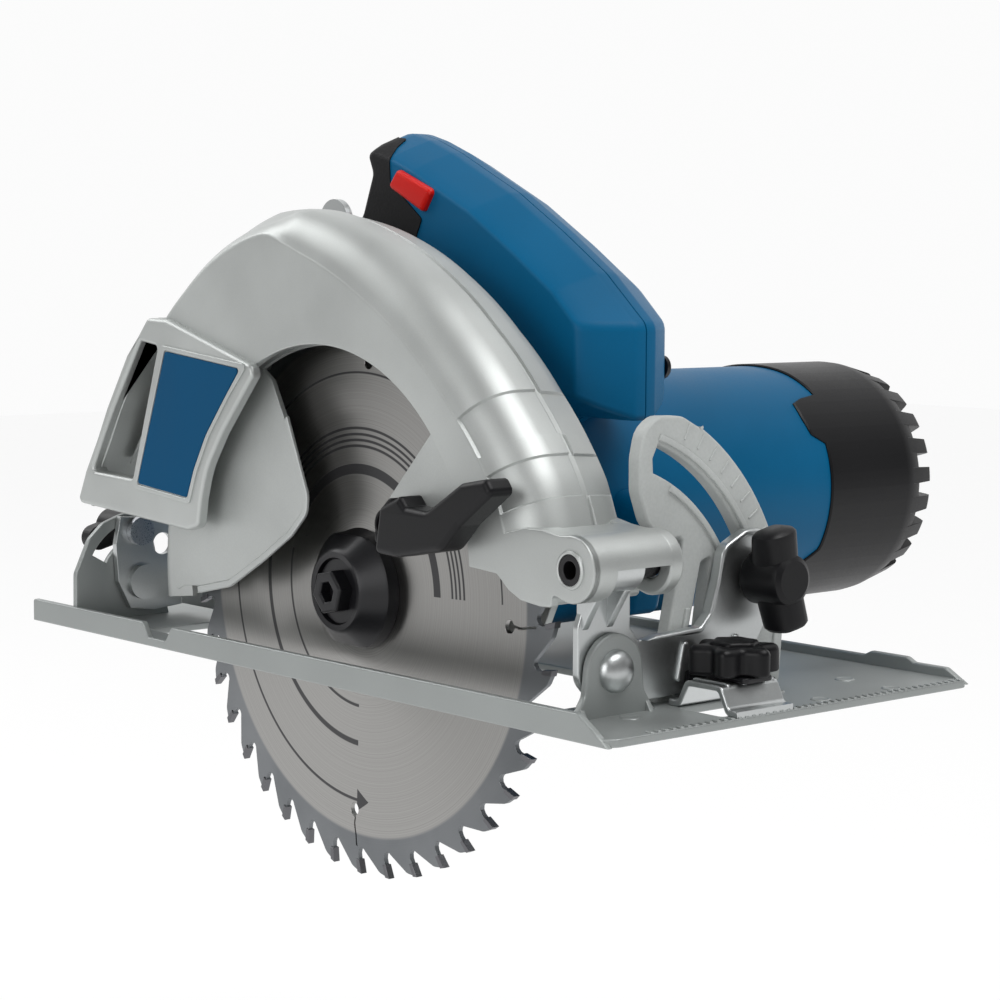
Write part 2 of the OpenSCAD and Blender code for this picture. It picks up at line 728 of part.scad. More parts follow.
module handle_left() {
    color("steelblue") difference() {
        handle_shell(0, handle_w / 2, -1, handle_w / 2 - handle_wall);
        for (p = handle_screw_at) {
            ycyl(p[0], p[1], 4, handle_w / 2 - 1.5, handle_w / 2 + 1);
            ycyl(p[0], p[1], 2, handle_w / 2 - 4, handle_w / 2 + 1);
        }
        side(handle_w / 2 - 1.2, handle_w / 2 + 1) grip_zone();
    }
}

// Soft black overmould on both sides of the grip
module handle_grip() {
    color([0.12, 0.12, 0.12]) difference() {
        union() for (y = [-handle_w / 2 - 0.3, handle_w / 2 - 1.2]) side(y, y + 1.5) intersection() {
            difference() {
                handle_outline();
                handle_hole();
            }
            grip_zone();
        }
        for (p = handle_screw_at) ycyl(p[0], p[1], 4, handle_w / 2 - 1.5, handle_w / 2 + 1);
    }
}

handle_screw_at = [[76, 100], [52, 122], [-20, 160], [-64, 92], [-80, 74]];

module handle_screws() {
    color("dimgray") for (p = handle_screw_at) {
        ycyl(p[0], p[1], 3.8, handle_w / 2 - 1.4, handle_w / 2 + 0.1);
        ycyl(p[0], p[1], 1.9, 4, handle_w / 2 - 1.4);
    }
}

// Pushbutton switch behind the trigger
module switch_module() {
    color([0.2, 0.2, 0.2]) translate([trigger_mid[0], 0, trigger_mid[1]]) rotate([0, -trigger_tilt, 0])
        translate([-23.6, -8, -16]) cube([11, 16, 32]);
}

// Rubber gland where the supply cord enters
module cord_inlet() {
    color([0.15, 0.15, 0.15]) difference() {
        union() {
            xcyl(0, 76, 6.5, -97, -90);
            xcyl(0, 76, 8, -101, -97);
        }
        xcyl(0, 76, 4, -102, -89);
    }
}

module trigger() {
    color([0.12, 0.12, 0.12]) translate([trigger_mid[0], 0, trigger_mid[1]]) rotate([0, -trigger_tilt, 0])
        translate([-6, -6, -17.5]) cube([14, 12, 35]);
}

module lock_off_button() {
    color("red") translate([lock_off_at[0], -handle_w / 2 - 3, lock_off_at[1]]) rotate([0, 22, 0])
        translate([-10, 0, -4]) cube([20, 7, 8]);
}

// Button and pin that hold the armature while the blade bolt is undone
module spindle_lock() {
    color("red") {
        xcyl(lock_y, lock_z, 6, 80, 91);
        xcyl(lock_y, lock_z, 2.4, motor_x + 15.2, 81);
    }
}

// ---------- depth clamp ----------

module depth_clamp_bolt() {
    color("lightgray") {
        ycyl(clamp_at[0], clamp_at[1], 3, -38.6, -20.4);
        ycyl(clamp_at[0], clamp_at[1], 6, -35.8, -31.8);
    }
}

module depth_lever() {
    color([0.12, 0.12, 0.12]) difference() {
        union() {
            ycyl(clamp_at[0], clamp_at[1], 8, -28.6, -21);
            side(-27, -21.6) polygon([[clamp_at[0] - 7, clamp_at[1] + 3], [clamp_at[0] + 6, clamp_at[1] - 4],
                [clamp_at[0] + 6, clamp_at[1] + 2], [clamp_at[0] - 20, clamp_at[1] + 50],
                [clamp_at[0] - 32, clamp_at[1] + 48]]);
        }
        ycyl(clamp_at[0], clamp_at[1], 3 + pin_gap, -30, -20);
    }
}

// ---------- spindle and blade ----------

gullet = 8.5;
slot_hole_r = 74;

module tip_seat(kerf) {
    translate([blade_r - 5.4, 0.05, -kerf / 2]) cube([5.4, 1.45, kerf]);
}

module saw_blade() {
    pitch = 360 / teeth;
    // one tooth as [depth below the rim, share of the pitch], from its face backwards
    tooth = [[0.5, 0], [2.6, -0.32], [5, -0.5], [gullet, -0.7], [gullet - 0.6, -0.86], [4.5, -0.9]];
    rim = [for (i = [0:teeth - 1]) each [for (t = tooth)
        let(a = -i * pitch + t[1] * pitch, r = blade_r - t[0]) [r * cos(a), r * sin(a)]]];
    color("lightgray") translate([arbor_x, blade_y, arbor_z]) rotate([90, 0, 0])
        difference() {
            translate([0, 0, -blade_t / 2]) linear_extrude(blade_t) difference() {
                polygon(rim);
                for (i = [0:3]) rotate(i * 90 - 3) translate([slot_hole_r, -0.35]) square([30, 0.7]);
            }
            translate([0, 0, -blade_t]) cylinder(r = 15, h = 2 * blade_t);
            for (i = [0:3]) rotate(i * 90 - 3) translate([slot_hole_r, 0, -blade_t])
                cylinder(r = 2, h = 2 * blade_t, $fn = 24);
            for (i = [0:teeth - 1]) rotate(i * pitch) tip_seat(2 * blade_t);
        }
}

module carbide_tips() {
    kerf = 2.6;
    color("gray") for (i = [0:teeth - 1]) translate([arbor_x, blade_y, arbor_z]) rotate([90, 0, 0])
        rotate(i * 360 / teeth) tip_seat(kerf);
}

outer_flange_r = 20;
flange_face = blade_y + blade_t / 2;
flange_front = blade_y - blade_t / 2;

module inner_flange() {
    color("silver") difference() {
        union() {
            ycyl(arbor_x, arbor_z, 21, flange_face, -44);
            ycyl(arbor_x, arbor_z, 15 - pin_gap, flange_front + 0.2, flange_face);
        }
        ycyl(arbor_x, arbor_z, 7.5, -60, -40);
    }
}

module outer_flange() {
    color([0.1, 0.1, 0.12]) difference() {
        union() {
            ycyl(arbor_x, arbor_z, 14.5, -61.5, -57, outer_flange_r);
            ycyl(arbor_x, arbor_z, outer_flange_r, -57, flange_front);
        }
        ycyl(arbor_x, arbor_z, 7.5, -54, -40);
        ycyl(arbor_x, arbor_z, 4.2, -70, -40);
        ycyl(arbor_x, arbor_z, 11, -62.5, -59.4);
    }
}

module blade_bolt() {
    color([0.15, 0.15, 0.17]) difference() {
        union() {
            ycyl(arbor_x, arbor_z, 10.5, -60.2, -59.4);
            translate([arbor_x, -66, arbor_z]) rotate([-90, 0, 0]) cylinder(r = 7.5, h = 5.9, $fn = 6);
            ycyl(arbor_x, arbor_z, 4, -60, -34);
        }
        translate([arbor_x, -67, arbor_z]) rotate([-90, 0, 0]) cylinder(r = 3.4, h = 5, $fn = 6);
    }
}

module spindle() {
    color("silver") difference() {
        union() {
            ycyl(arbor_x, arbor_z, 7.5, -53.5, -18.4);
            ycyl(arbor_x, arbor_z, 5, -18.5, -9.8);
        }
        ycyl(arbor_x, arbor_z, 4, -60, -33);
    }
}

// Straight-toothed gear outline with one tooth centred on the X axis
function involute_at(r, rb) = let(c = min(1, rb / r)) (tan(acos(c)) * 180 / PI - acos(c));

module gear_shape(n, thin = 0.92) {
    rp = gear_module * n / 2;
    rb = rp * cos(20);
    root = rp - 1.2 * gear_module;
    tip = rp + 0.9 * gear_module;
    half = thin * 90 / n;
    steps = 5;
    flank = [for (i = [0:steps]) let(r = root + (tip - root) * i / steps)
        [r, half + involute_at(rp, rb) - involute_at(max(r, rb), rb)]];
    polygon([for (k = [0:n - 1]) let(mid = k * 360 / n) each concat(
        [for (f = flank) [f[0] * cos(mid - f[1]), f[0] * sin(mid - f[1])]],
        [for (j = [0:steps]) let(f = flank[steps - j]) [f[0] * cos(mid + f[1]), f[0] * sin(mid + f[1])]])]);
}

module spindle_gear() {
    color("gray") translate([arbor_x, -20, arbor_z]) rotate([90, 0, 0]) difference() {
        rotate(motor_dir) linear_extrude(10) gear_shape(gear_teeth);
        translate([0, 0, -1]) cylinder(r = 7.5, h = 12);
    }
}

// Armature shaft with its pinion; a gap of the pinion faces the gear's tooth
module armature_shaft() {
    color("silver") {
        translate([motor_x, -19.5, motor_z]) rotate([90, 0, 0]) rotate(motor_dir + 180 + 180 / pinion_teeth)
            linear_extrude(11) gear_shape(pinion_teeth);
        ycyl(motor_x, motor_z, 4, -19.6, 150);
        // disc that the spindle lock catches
        difference() {
            yring(motor_x, motor_z, 15, 4, lock_y - 3, lock_y + 3);
            for (a = [0:90:270]) translate([motor_x, 0, motor_z]) rotate([0, a, 0])
                translate([10, lock_y - 4, -5.4]) cube([6, 8, 10.8]);
        }
    }
}

module armature_core() {
    color("peru") difference() {
        union() {
            ycyl(motor_x, motor_z, 24.2, 30, 76);
            ycyl(motor_x, motor_z, 20, 20, 30);
            ycyl(motor_x, motor_z, 20, 76, 92);
        }
        ycyl(motor_x, motor_z, 4, 10, 100);
    }
}

module commutator() {
    bars = 24;
    color("chocolate") difference() {
        ycyl(motor_x, motor_z, 13, 96, 116);
        ycyl(motor_x, motor_z, 4, 95, 117);
        for (i = [0:bars - 1]) translate([motor_x, 0, motor_z]) rotate([0, i * 360 / bars, 0])
            translate([12, 97, -0.3]) cube([2, 20, 0.6]);
    }
}

module cooling_fan() {
    blades = 12;
    color([0.85, 0.85, 0.85]) difference() {
        union() {
            ycyl(motor_x, motor_z, 34, -1.5, 0);
            ycyl(motor_x, motor_z, 9, -3, 10);
            for (i = [0:blades - 1]) translate([motor_x, 0, motor_z]) rotate([0, i * 360 / blades, 0])
                translate([8, -1, -0.8]) cube([25, 9, 1.6]);
        }
        ycyl(motor_x, motor_z, 4, -4, 11);
    }
}

base_plate();
bevel_quadrant();
quadrant_bolts();
guide_bridge();
bevel_rivets();
guide_knob();
guide_clamp();
front_bevel_knob();
front_bevel_bolt();
rear_bevel_knob();
rear_bevel_bolt();
front_bracket();
rear_bracket();
depth_arc();
bracket_rivets();
depth_pivot_pin();
upper_guard();
label_plate();
gear_housing();
guard_screws();
bearing_flange();
spindle_bearing();
spindle_bush();
armature_bearings();
motor_housing();
fan_cowl();
cowl_screws();
stator_core();
field_coils();
brush_holders();
carbon_brushes();
handle_right();
handle_left();
handle_grip();
handle_screws();
switch_module();
cord_inlet();
depth_clamp_bolt();
depth_lever();
trigger();
lock_off_button();
spindle_lock();
lower_guard();
guard_lever();
lever_screw();
guard_circlip();
guard_spring();
saw_blade();
carbide_tips();
inner_flange();
outer_flange();
blade_bolt();
spindle();
spindle_gear();
armature_shaft();
armature_core();
commutator();
cooling_fan();
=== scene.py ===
"""Looks of the circular saw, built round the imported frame. Lengths in the outlines are millimetres."""
import json
import math
import bpy
import bmesh
from mathutils import Matrix, Vector
from mathutils.geometry import tessellate_polygon


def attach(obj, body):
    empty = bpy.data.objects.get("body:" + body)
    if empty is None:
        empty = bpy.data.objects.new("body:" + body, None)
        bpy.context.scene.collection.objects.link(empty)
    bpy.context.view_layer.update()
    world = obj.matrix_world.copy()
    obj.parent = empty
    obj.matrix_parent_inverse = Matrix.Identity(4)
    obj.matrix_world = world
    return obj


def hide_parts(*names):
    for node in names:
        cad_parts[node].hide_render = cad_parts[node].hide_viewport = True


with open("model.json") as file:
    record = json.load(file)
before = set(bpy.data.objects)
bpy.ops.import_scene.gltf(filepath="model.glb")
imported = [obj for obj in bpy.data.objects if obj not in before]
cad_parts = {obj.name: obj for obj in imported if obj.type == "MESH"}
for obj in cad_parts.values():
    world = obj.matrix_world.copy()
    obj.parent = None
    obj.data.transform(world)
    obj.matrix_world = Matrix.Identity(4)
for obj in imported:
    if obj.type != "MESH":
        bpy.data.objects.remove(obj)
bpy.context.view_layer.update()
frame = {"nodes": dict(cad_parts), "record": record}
MM = 0.001

# main axes in millimetres: (x, z) where the axis runs along y, (y, z) where it runs along x
# and (x, y) where it runs along z
ARBOR = (9.5, 27)
MOTOR = (23.35, 53.61)
NOSE = (133, 47)
BEVEL = (-50.7, 15.5)
WING_KNOB = (9.05, 38.44)
GUIDE_KNOB = (141.5, -14)
CROWN = (-18, 9.5)
BLADE_Y = -50.7


# ---------- shape helpers ----------

def place(u, v, w, axis):
    """A point of an outline (u, v) at height w along the axis it is extruded along."""
    if axis == "y":
        return (u, w, v)
    if axis == "x":
        return (w, u, v)
    return (u, v, w)


def area(pts):
    """Area inside a closed outline, positive when it runs counter-clockwise."""
    pts = list(pts)
    return 0.5 * sum(a[0] * b[1] - b[0] * a[1] for a, b in zip(pts, pts[1:] + pts[:1]))


def turned(pts, left):
    """The outline, reversed where needed so that it runs counter-clockwise when left is true."""
    return list(pts) if (area(pts) > 0) == left else list(pts)[::-1]


def inset(pts, d):
    """Moves every point of a closed outline to its left by d."""
    out = []
    n = len(pts)
    for i, p in enumerate(pts):
        a, b = pts[i - 1], pts[(i + 1) % n]
        e1 = Vector((p[0] - a[0], p[1] - a[1]))
        e2 = Vector((b[0] - p[0], b[1] - p[1]))
        if e1.length < 1e-6 or e2.length < 1e-6:
            e1 = e1 if e1.length > 1e-6 else e2
            e2 = e2 if e2.length > 1e-6 else e1
        n1 = Vector((-e1.y, e1.x)).normalized()
        n2 = Vector((-e2.y, e2.x)).normalized()
        m = n1 + n2
        k = m.length_squared
        m = m * (2 / k) if k > 0.5 else m * (2 / 0.5) if k > 1e-6 else n1
        out.append((p[0] + m.x * d, p[1] + m.y * d))
    return out


def rnd(pts, r=2.0, n=5):
    """Rounds the corners of an outline; a corner may bring its own radius as a third number."""
    out = []
    count = len(pts)
    for i, p in enumerate(pts):
        q = Vector(p[:2])
        a = Vector(pts[i - 1][:2]) - q
        b = Vector(pts[(i + 1) % count][:2]) - q
        rad = p[2] if len(p) > 2 else r
        if rad <= 0 or a.length < 1e-6 or b.length < 1e-6:
            out.append((q.x, q.y))
            continue
        la, lb = a.length, b.length
        a.normalize()
        b.normalize()
        half = a.angle(b) / 2
        if half > math.radians(88) or half < 0.02:
            out.append((q.x, q.y))
            continue
        t = min(rad / math.tan(half), 0.48 * la, 0.48 * lb)
        s = t * math.tan(half)
        c = q + (a + b).normalized() * (s / math.sin(half))
        v0 = q + a * t - c
        v1 = q + b * t - c
        sweep = v0.angle_signed(v1)
        for k in range(n + 1):
            ang = -sweep * k / n
            x = v0.x * math.cos(ang) - v0.y * math.sin(ang)
            y = v0.x * math.sin(ang) + v0.y * math.cos(ang)
            out.append((c.x + x, c.y + y))
    return out


def arc(cx, cz, r, a0, a1, n=24):
    """Points on a circle from a0 to a1 degrees."""
    return [(cx + r * math.cos(math.radians(a0 + (a1 - a0) * i / n)),
             cz + r * math.sin(math.radians(a0 + (a1 - a0) * i / n))) for i in range(n + 1)]


def circle(cx, cz, r, n=48):
    return arc(cx, cz, r, 0, 360, n)[:-1]


def around(centre, r, angle):
    """The point at a radius and an angle in degrees round a centre."""
    return (centre[0] + r * math.cos(math.radians(angle)), centre[1] + r * math.sin(math.radians(angle)))


def carried(section, centre, angle):
    """A section of (radius, y) points, carried to an angle round an axis along y."""
    out = []
    for r, y in section:
        x, z = around(centre, r, angle)
        out.append((x, y, z))
    return out


def table(rows, at):
    """Reads a table of (position, value) rows, with straight lines between them."""
    for (a, va), (b, vb) in zip(rows, rows[1:]):
        if a <= at <= b:
            return va + (vb - va) * (at - a) / (b - a)
    return rows[0][1] if at < rows[0][0] else rows[-1][1]


class Part:
    """Collects vertices and faces in millimetres, then becomes one object."""

    def __init__(self):
        self.v = []
        self.f = []

    def point(self, p):
        self.v.append(tuple(p))
        return len(self.v) - 1

    def ring(self, pts):
        return [self.point(p) for p in pts]

    def band(self, a, b):
        """Joins two rings of point numbers with four-sided faces."""
        n = len(a)
        for i in range(n):
            j = (i + 1) % n
            self.f.append((a[i], a[j], b[j], b[i]))

    def cap(self, rings, axis):
        """Fills the flat face bounded by these rings of point numbers."""
        loops = []
        flat = []
        for ring in rings:
            loops.append([Vector((*self.flat(self.v[i], axis), 0)) for i in ring])
            flat += ring
        for t in tessellate_polygon(loops):
            if len(set(t)) == 3:
                self.f.append(tuple(flat[i] for i in t))

    @staticmethod
    def flat(p, axis):
        return (p[0], p[2]) if axis == "y" else (p[1], p[2]) if axis == "x" else (p[0], p[1])

    def slab(self, loops, lo, hi, axis="y", b0=0.5, b1=0.5, seg=3):
        """An outline with holes, extruded from lo to hi with rounded edges b0 and b1."""
        loops = [turned(loops[0], True)] + [turned(h, False) for h in loops[1:]]
        first, last = [], []
        for loop in loops:
            prev = None
            steps = []
            if b0 > 0:
                for k in range(seg):
                    a = math.pi / 2 * k / seg
                    steps.append((b0 * (1 - math.sin(a)), lo + b0 * (1 - math.cos(a))))
            steps.append((0, lo + b0))
            steps.append((0, hi - b1))
            if b1 > 0:
                for k in range(seg - 1, -1, -1):
                    a = math.pi / 2 * k / seg
                    steps.append((b1 * (1 - math.sin(a)), hi - b1 * (1 - math.cos(a))))
            for d, w in steps:
                pts = inset(loop, d) if d > 0 else loop
                ring = self.ring(place(p[0], p[1], w, axis) for p in pts)
                if prev:
                    self.band(prev, ring)
                else:
                    first.append(ring)
                prev = ring
            last.append(prev)
        self.cap(first, axis)
        self.cap(last, axis)
        return self

    def loft(self, rings, caps=True):
        """Skins a list of rings of 3-D points, and closes both ends when caps is true."""
        ids = [self.ring(r) for r in rings]
        for a, b in zip(ids, ids[1:]):
            self.band(a, b)
        if caps:
            for r in (ids[0], ids[-1]):
                self.f.append(tuple(r))
        return self

    def turn(self, profile, u, v, axis="y", n=72):
        """Turns a profile of (radius, height) about an axis through (u, v); radius 0 closes an end."""
        prev = None
        for r, w in profile:
            if r < 1e-6:
                tip = self.point(place(u, v, w, axis))
                if prev:
                    for i in range(n):
                        self.f.append((prev[i], prev[(i + 1) % n], tip))
                prev = ("tip", tip)
                continue
            ring = self.ring(place(u + r * math.cos(2 * math.pi * i / n), v +
                                   r * math.sin(2 * math.pi * i / n), w, axis) for i in range(n))
            if isinstance(prev, tuple):
                for i in range(n):
                    self.f.append((prev[1], ring[i], ring[(i + 1) % n]))
            elif prev:
                self.band(prev, ring)
            prev = ring
        return self

    def object(self, name, body, nodes, slot, material, angle):
        mesh = bpy.data.meshes.new(name)
        mesh.from_pydata([(x * MM, y * MM, z * MM) for x, y, z in self.v], [], self.f)
        bm = bmesh.new()
        bm.from_mesh(mesh)
        bmesh.ops.remove_doubles(bm, verts=bm.verts, dist=2e-6)
        bmesh.ops.dissolve_degenerate(bm, edges=bm.edges, dist=1e-6)
        bmesh.ops.recalc_face_normals(bm, faces=bm.faces)
        bm.to_mesh(mesh)
        bm.free()
        mesh.shade_smooth()
        mesh.set_sharp_from_angle(angle=math.radians(angle))
        ob = bpy.data.objects.new(name, mesh)
        bpy.context.scene.collection.objects.link(ob)
        mesh.materials.append(material)
        normal = ob.modifiers.new("Normals", "WEIGHTED_NORMAL")
        normal.keep_sharp = True
        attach(ob, body)
        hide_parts(*nodes)
        return ob


# ---------- materials ----------

class Shader:
    """A procedural material: a Principled surface fed by noise, mottling and bump."""

    def __init__(self, name):
        self.material = bpy.data.materials.new(name)
        self.material.use_nodes = True
        self.tree = self.material.node_tree
        self.tree.nodes.clear()
        self.out = self.node("ShaderNodeOutputMaterial")
        self.bsdf = self.node("ShaderNodeBsdfPrincipled")
        self.join(self.bsdf, "BSDF", self.out, "Surface")
        self.coords = self.node("ShaderNodeTexCoord")

    def node(self, kind, **values):
        n = self.tree.nodes.new(kind)
        for key, value in values.items():
            setattr(n, key, value)
        return n

    def join(self, a, out, b, into):
        self.tree.links.new(a.outputs[out], b.inputs[into])

    def math(self, op, a, b=0.0, c=None):
        n = self.node("ShaderNodeMath", operation=op)
        for i, value in enumerate((a, b) if c is None else (a, b, c)):
            if isinstance(value, (int, float)):
                n.inputs[i].default_value = value
            else:
                self.tree.links.new(value, n.inputs[i])
        return n.outputs[0]

    def noise(self, scale, detail=3.0, stretch=(1, 1, 1), vector=None):
        mapping = self.node("ShaderNodeMapping")
        mapping.inputs["Scale"].default_value = stretch
        self.tree.links.new(vector or self.coords.outputs["Object"], mapping.inputs["Vector"])
        n = self.node("ShaderNodeTexNoise")
        n.inputs["Scale"].default_value = scale
        n.inputs["Detail"].default_value = detail
        n.inputs["Roughness"].default_value = 0.5
        self.join(mapping, "Vector", n, "Vector")
        return n.outputs["Fac"]

    def ramp(self, fac, stops):
        n = self.node("ShaderNodeValToRGB")
        while len(n.color_ramp.elements) < len(stops):
            n.color_ramp.elements.new(0.5)
        for element, (pos, color) in zip(n.color_ramp.elements, stops):
            element.position = pos
            element.color = (*color, 1.0)
        self.tree.links.new(fac, n.inputs["Fac"])
        return n.outputs["Color"]

    def span(self, fac, lo, hi, from_lo=0.3, from_hi=0.7):
        n = self.node("ShaderNodeMapRange")
        n.inputs["From Min"].default_value = from_lo
        n.inputs["From Max"].default_value = from_hi
        n.inputs["To Min"].default_value = lo
        n.inputs["To Max"].default_value = hi
        self.tree.links.new(fac, n.inputs["Value"])
        return n.outputs["Result"]

    def mix(self, fac, a, b, mode="MIX"):
        n = self.node("ShaderNodeMix", data_type="RGBA", blend_type=mode)
        if isinstance(fac, (int, float)):
            n.inputs["Factor"].default_value = fac
        else:
            self.tree.links.new(fac, n.inputs["Factor"])
        for key, value in (("A", a), ("B", b)):
            sock = [s for s in n.inputs if s.name == key and s.type == "RGBA"][0]
            if isinstance(value, tuple):
                sock.default_value = (*value, 1.0)
            else:
                self.tree.links.new(value, sock)
        return [s for s in n.outputs if s.type == "RGBA"][0]

    def set(self, **values):
        for key, value in values.items():
            sock = self.bsdf.inputs[key.replace("_", " ")]
            if isinstance(value, (int, float)):
                sock.default_value = value
            elif isinstance(value, tuple):
                sock.default_value = (*value, 1.0)
            else:
                self.tree.links.new(value, sock)

    def bump(self, *layers):
        """Each layer is (height, strength, distance in mm)."""
        previous = None
        for height, strength, distance in layers:
            n = self.node("ShaderNodeBump")
            n.inputs["Strength"].default_value = strength
            n.inputs["Distance"].default_value = distance * MM
            self.tree.links.new(height, n.inputs["Height"])
            if previous:
                self.join(previous, "Normal", n, "Normal")
            previous = n
        self.join(previous, "Normal", self.bsdf, "Normal")


def shade(color, k):
    return tuple(min(1.0, c * k) for c in color)


def surface(name, color, rough=0.4, metal=0.0, grain=(1500, 0.15, 0.05), wave=(60, 0.1, 0.1),
            mottle=0.1, rough_spread=0.08, coat=0.0, coat_rough=0.2, spec=0.5, stretch=(1, 1, 1)):
    """A plain moulded, cast, pressed or plated finish with grain at its real scale."""
    s = Shader(name)
    fine = s.noise(grain[0], 2.0, stretch)
    broad = s.noise(wave[0], 3.0)
    cloud = s.noise(25, 4.0)
    tone = s.ramp(cloud, [(0.3, shade(color, 1 - mottle)), (0.7, shade(color, 1 + mottle))])
    speck = s.ramp(fine, [(0.35, (1 - mottle,) * 3), (0.65, (1, 1, 1))])
    s.set(Base_Color=s.mix(0.6, tone, speck, "MULTIPLY"), Metallic=metal,
          Roughness=s.span(s.math("ADD", s.math("MULTIPLY", cloud, 0.6), s.math("MULTIPLY", fine, 0.4)),
                           rough - rough_spread, rough + rough_spread))
    s.set(Coat_Weight=coat, Coat_Roughness=coat_rough, Specular_IOR_Level=spec)
    s.bump((fine, grain[1], grain[2]), (broad, wave[1], wave[2]))
    return s.material


def metal(name, color, rough, stretch=(1, 1, 1), grain=(2200, 0.2, 0.03), **more):
    return surface(name, color, rough, 1.0, grain, (45, 0.05, 0.1), 0.06, 0.06, stretch=stretch, **more)


def blade_print():
    """Ground steel disc: circular brushing, a darker rim and plain printed rings and arcs."""
    s = Shader("blade_steel")
    xyz = s.node("ShaderNodeSeparateXYZ")
    s.join(s.coords, "Object", xyz, "Vector")
    x, z = xyz.outputs["X"], xyz.outputs["Z"]
    r = s.math("MULTIPLY", s.math("SQRT", s.math("ADD", s.math("MULTIPLY", x, x),
                                                 s.math("MULTIPLY", z, z))), 1000)
    turn = s.math("MULTIPLY", s.math("ARCTAN2", z, x), 180 / math.pi)
    turn = s.math("FLOORED_MODULO", turn, 360)

    def ring(radius, half):
        return s.span(s.math("ABSOLUTE", s.math("SUBTRACT", r, radius)), 1, 0, half - 0.12, half + 0.12)

    def sector(a0, a1):
        return s.math("MULTIPLY", s.math("GREATER_THAN", turn, a0), s.math("LESS_THAN", turn, a1))

    upper = ring(70.6, 0.35)
    for radius, half in ((39.2, 1.7), (46.7, 0.45), (48.6, 0.45), (50.5, 0.45), (52.5, 0.45)):
        upper = s.math("MAXIMUM", upper, ring(radius, half))
    lower = s.math("MAXIMUM", s.math("MAXIMUM", ring(70.6, 0.5), ring(51.5, 0.9)), ring(39, 0.5))
    ink = s.math("MAXIMUM", s.math("MULTIPLY", upper, sector(2, 150)),
                 s.math("MULTIPLY", lower, sector(165, 268)))
    spread = s.math("MULTIPLY", s.math("SUBTRACT", 273, turn), 0.75)
    head = s.math("LESS_THAN", s.math("ABSOLUTE", s.math("SUBTRACT", r, 70.6)), spread)
    ink = s.math("MAXIMUM", ink, s.math("MULTIPLY", head, sector(268, 273)))
    combined = s.node("ShaderNodeCombineXYZ")
    s.tree.links.new(s.math("MULTIPLY", r, 0.001), combined.inputs["X"])
    lines = s.noise(2600, 3.0, vector=combined.outputs["Vector"])
    cloud = s.noise(30, 3.0)
    rim = s.span(r, 0, 1, 81.4, 82.4)
    face = s.ramp(lines, [(0.3, (0.29, 0.285, 0.275)), (0.7, (0.40, 0.395, 0.385))])
    dark = s.ramp(cloud, [(0.3, (0.18, 0.19, 0.20)), (0.7, (0.24, 0.25, 0.26))])
    color = s.mix(s.math("MULTIPLY", ink, 0.95), s.mix(rim, face, dark), (0.03, 0.03, 0.033))
    s.set(Base_Color=color, Metallic=s.span(ink, 1.0, 0.5, 0, 1),
          Roughness=s.math("ADD", s.span(lines, 0.27, 0.36), s.math("MULTIPLY", rim, 0.1)))
    s.set(Anisotropic=0.75)
    tangent = s.node("ShaderNodeTangent", direction_type="RADIAL", axis="Y")
    s.join(tangent, "Tangent", s.bsdf, "Tangent")
    s.bump((lines, 0.08, 0.02))
    return s.material


MATERIALS = {
    "plate_steel": surface("plate_steel", (0.34, 0.36, 0.355), 0.46, 0.55, (2000, 0.2, 0.03), mottle=0.06),
    "zinc": metal("zinc", (0.57, 0.59, 0.59), 0.36, grain=(1400, 0.06, 0.02)),
    "cast_light": surface("cast_light", (0.47, 0.49, 0.48), 0.5, 0.0, (1100, 0.2, 0.05), spec=0.3),
    "guard_cast": surface("guard_cast", (0.50, 0.52, 0.51), 0.46, 0.7, (2600, 0.3, 0.03),
                          (70, 0.06, 0.1), 0.08),
    "guard_steel": surface("guard_steel", (0.51, 0.53, 0.52), 0.47, 0.65, (2400, 0.25, 0.03)),
    "blue_plastic": surface("blue_plastic", (0.0, 0.105, 0.235), 0.42, 0.0, (1600, 0.25, 0.04),
                            mottle=0.06, spec=0.14),
    "black_plastic": surface("black_plastic", (0.004, 0.004, 0.005), 0.4, 0.0, (1600, 0.2, 0.04),
                             spec=0.25),
    "soft_grip": surface("soft_grip", (0.005, 0.005, 0.006), 0.6, 0.0, (900, 0.6, 0.12), spec=0.22),
    "red_plastic": surface("red_plastic", (0.62, 0.008, 0.004), 0.32, 0.0, (1500, 0.15, 0.04),
                           mottle=0.05, spec=0.25),
    "label_blue": surface("label_blue", (0.0, 0.064, 0.155), 0.5, 0.0, (1800, 0.06, 0.02), mottle=0.04,
                          spec=0.08),
    "black_steel": surface("black_steel", (0.010, 0.010, 0.012), 0.32, 0.3, (1700, 0.15, 0.03)),
    "screw_steel": metal("screw_steel", (0.52, 0.54, 0.57), 0.3),
    "blade_steel": blade_print(),
    "carbide": metal("carbide", (0.16, 0.16, 0.17), 0.38),
    "gear_steel": metal("gear_steel", (0.36, 0.36, 0.37), 0.3),
    "bronze": metal("bronze", (0.55, 0.36, 0.15), 0.35),
    "copper": metal("copper", (0.62, 0.26, 0.12), 0.32),
    "lamination": metal("lamination", (0.18, 0.18, 0.19), 0.5),
    "white_plastic": surface("white_plastic", (0.62, 0.62, 0.60), 0.45),
    "carbon": surface("carbon", (0.03, 0.03, 0.03), 0.6),
}
PAPER = surface("backdrop", (0.14, 0.14, 0.14), 0.9, 0.0, (400, 0.02, 0.02), mottle=0.01, spec=0.1)
glow = PAPER.node_tree.nodes["Principled BSDF"].inputs
glow["Emission Color"].default_value = (1, 1, 1, 1)
glow["Emission Strength"].default_value = 0.86
BODY_OF = {n: b for b, group in frame["record"]["behaviour"]["bodies"].items() for n in group}
SLOT_OF = {p["node"]: p["material_slot"] for p in frame["record"]["subparts"]}
replaced = set()


def build(part, name, angle=32):
    """Turns a Part into the piece of one CAD node; edges sharper than the angle stay sharp."""
    replaced.add(name)
    slot = SLOT_OF[name]
    return part.object("v_" + name, BODY_OF[name], (name,), slot, MATERIALS[slot], angle)


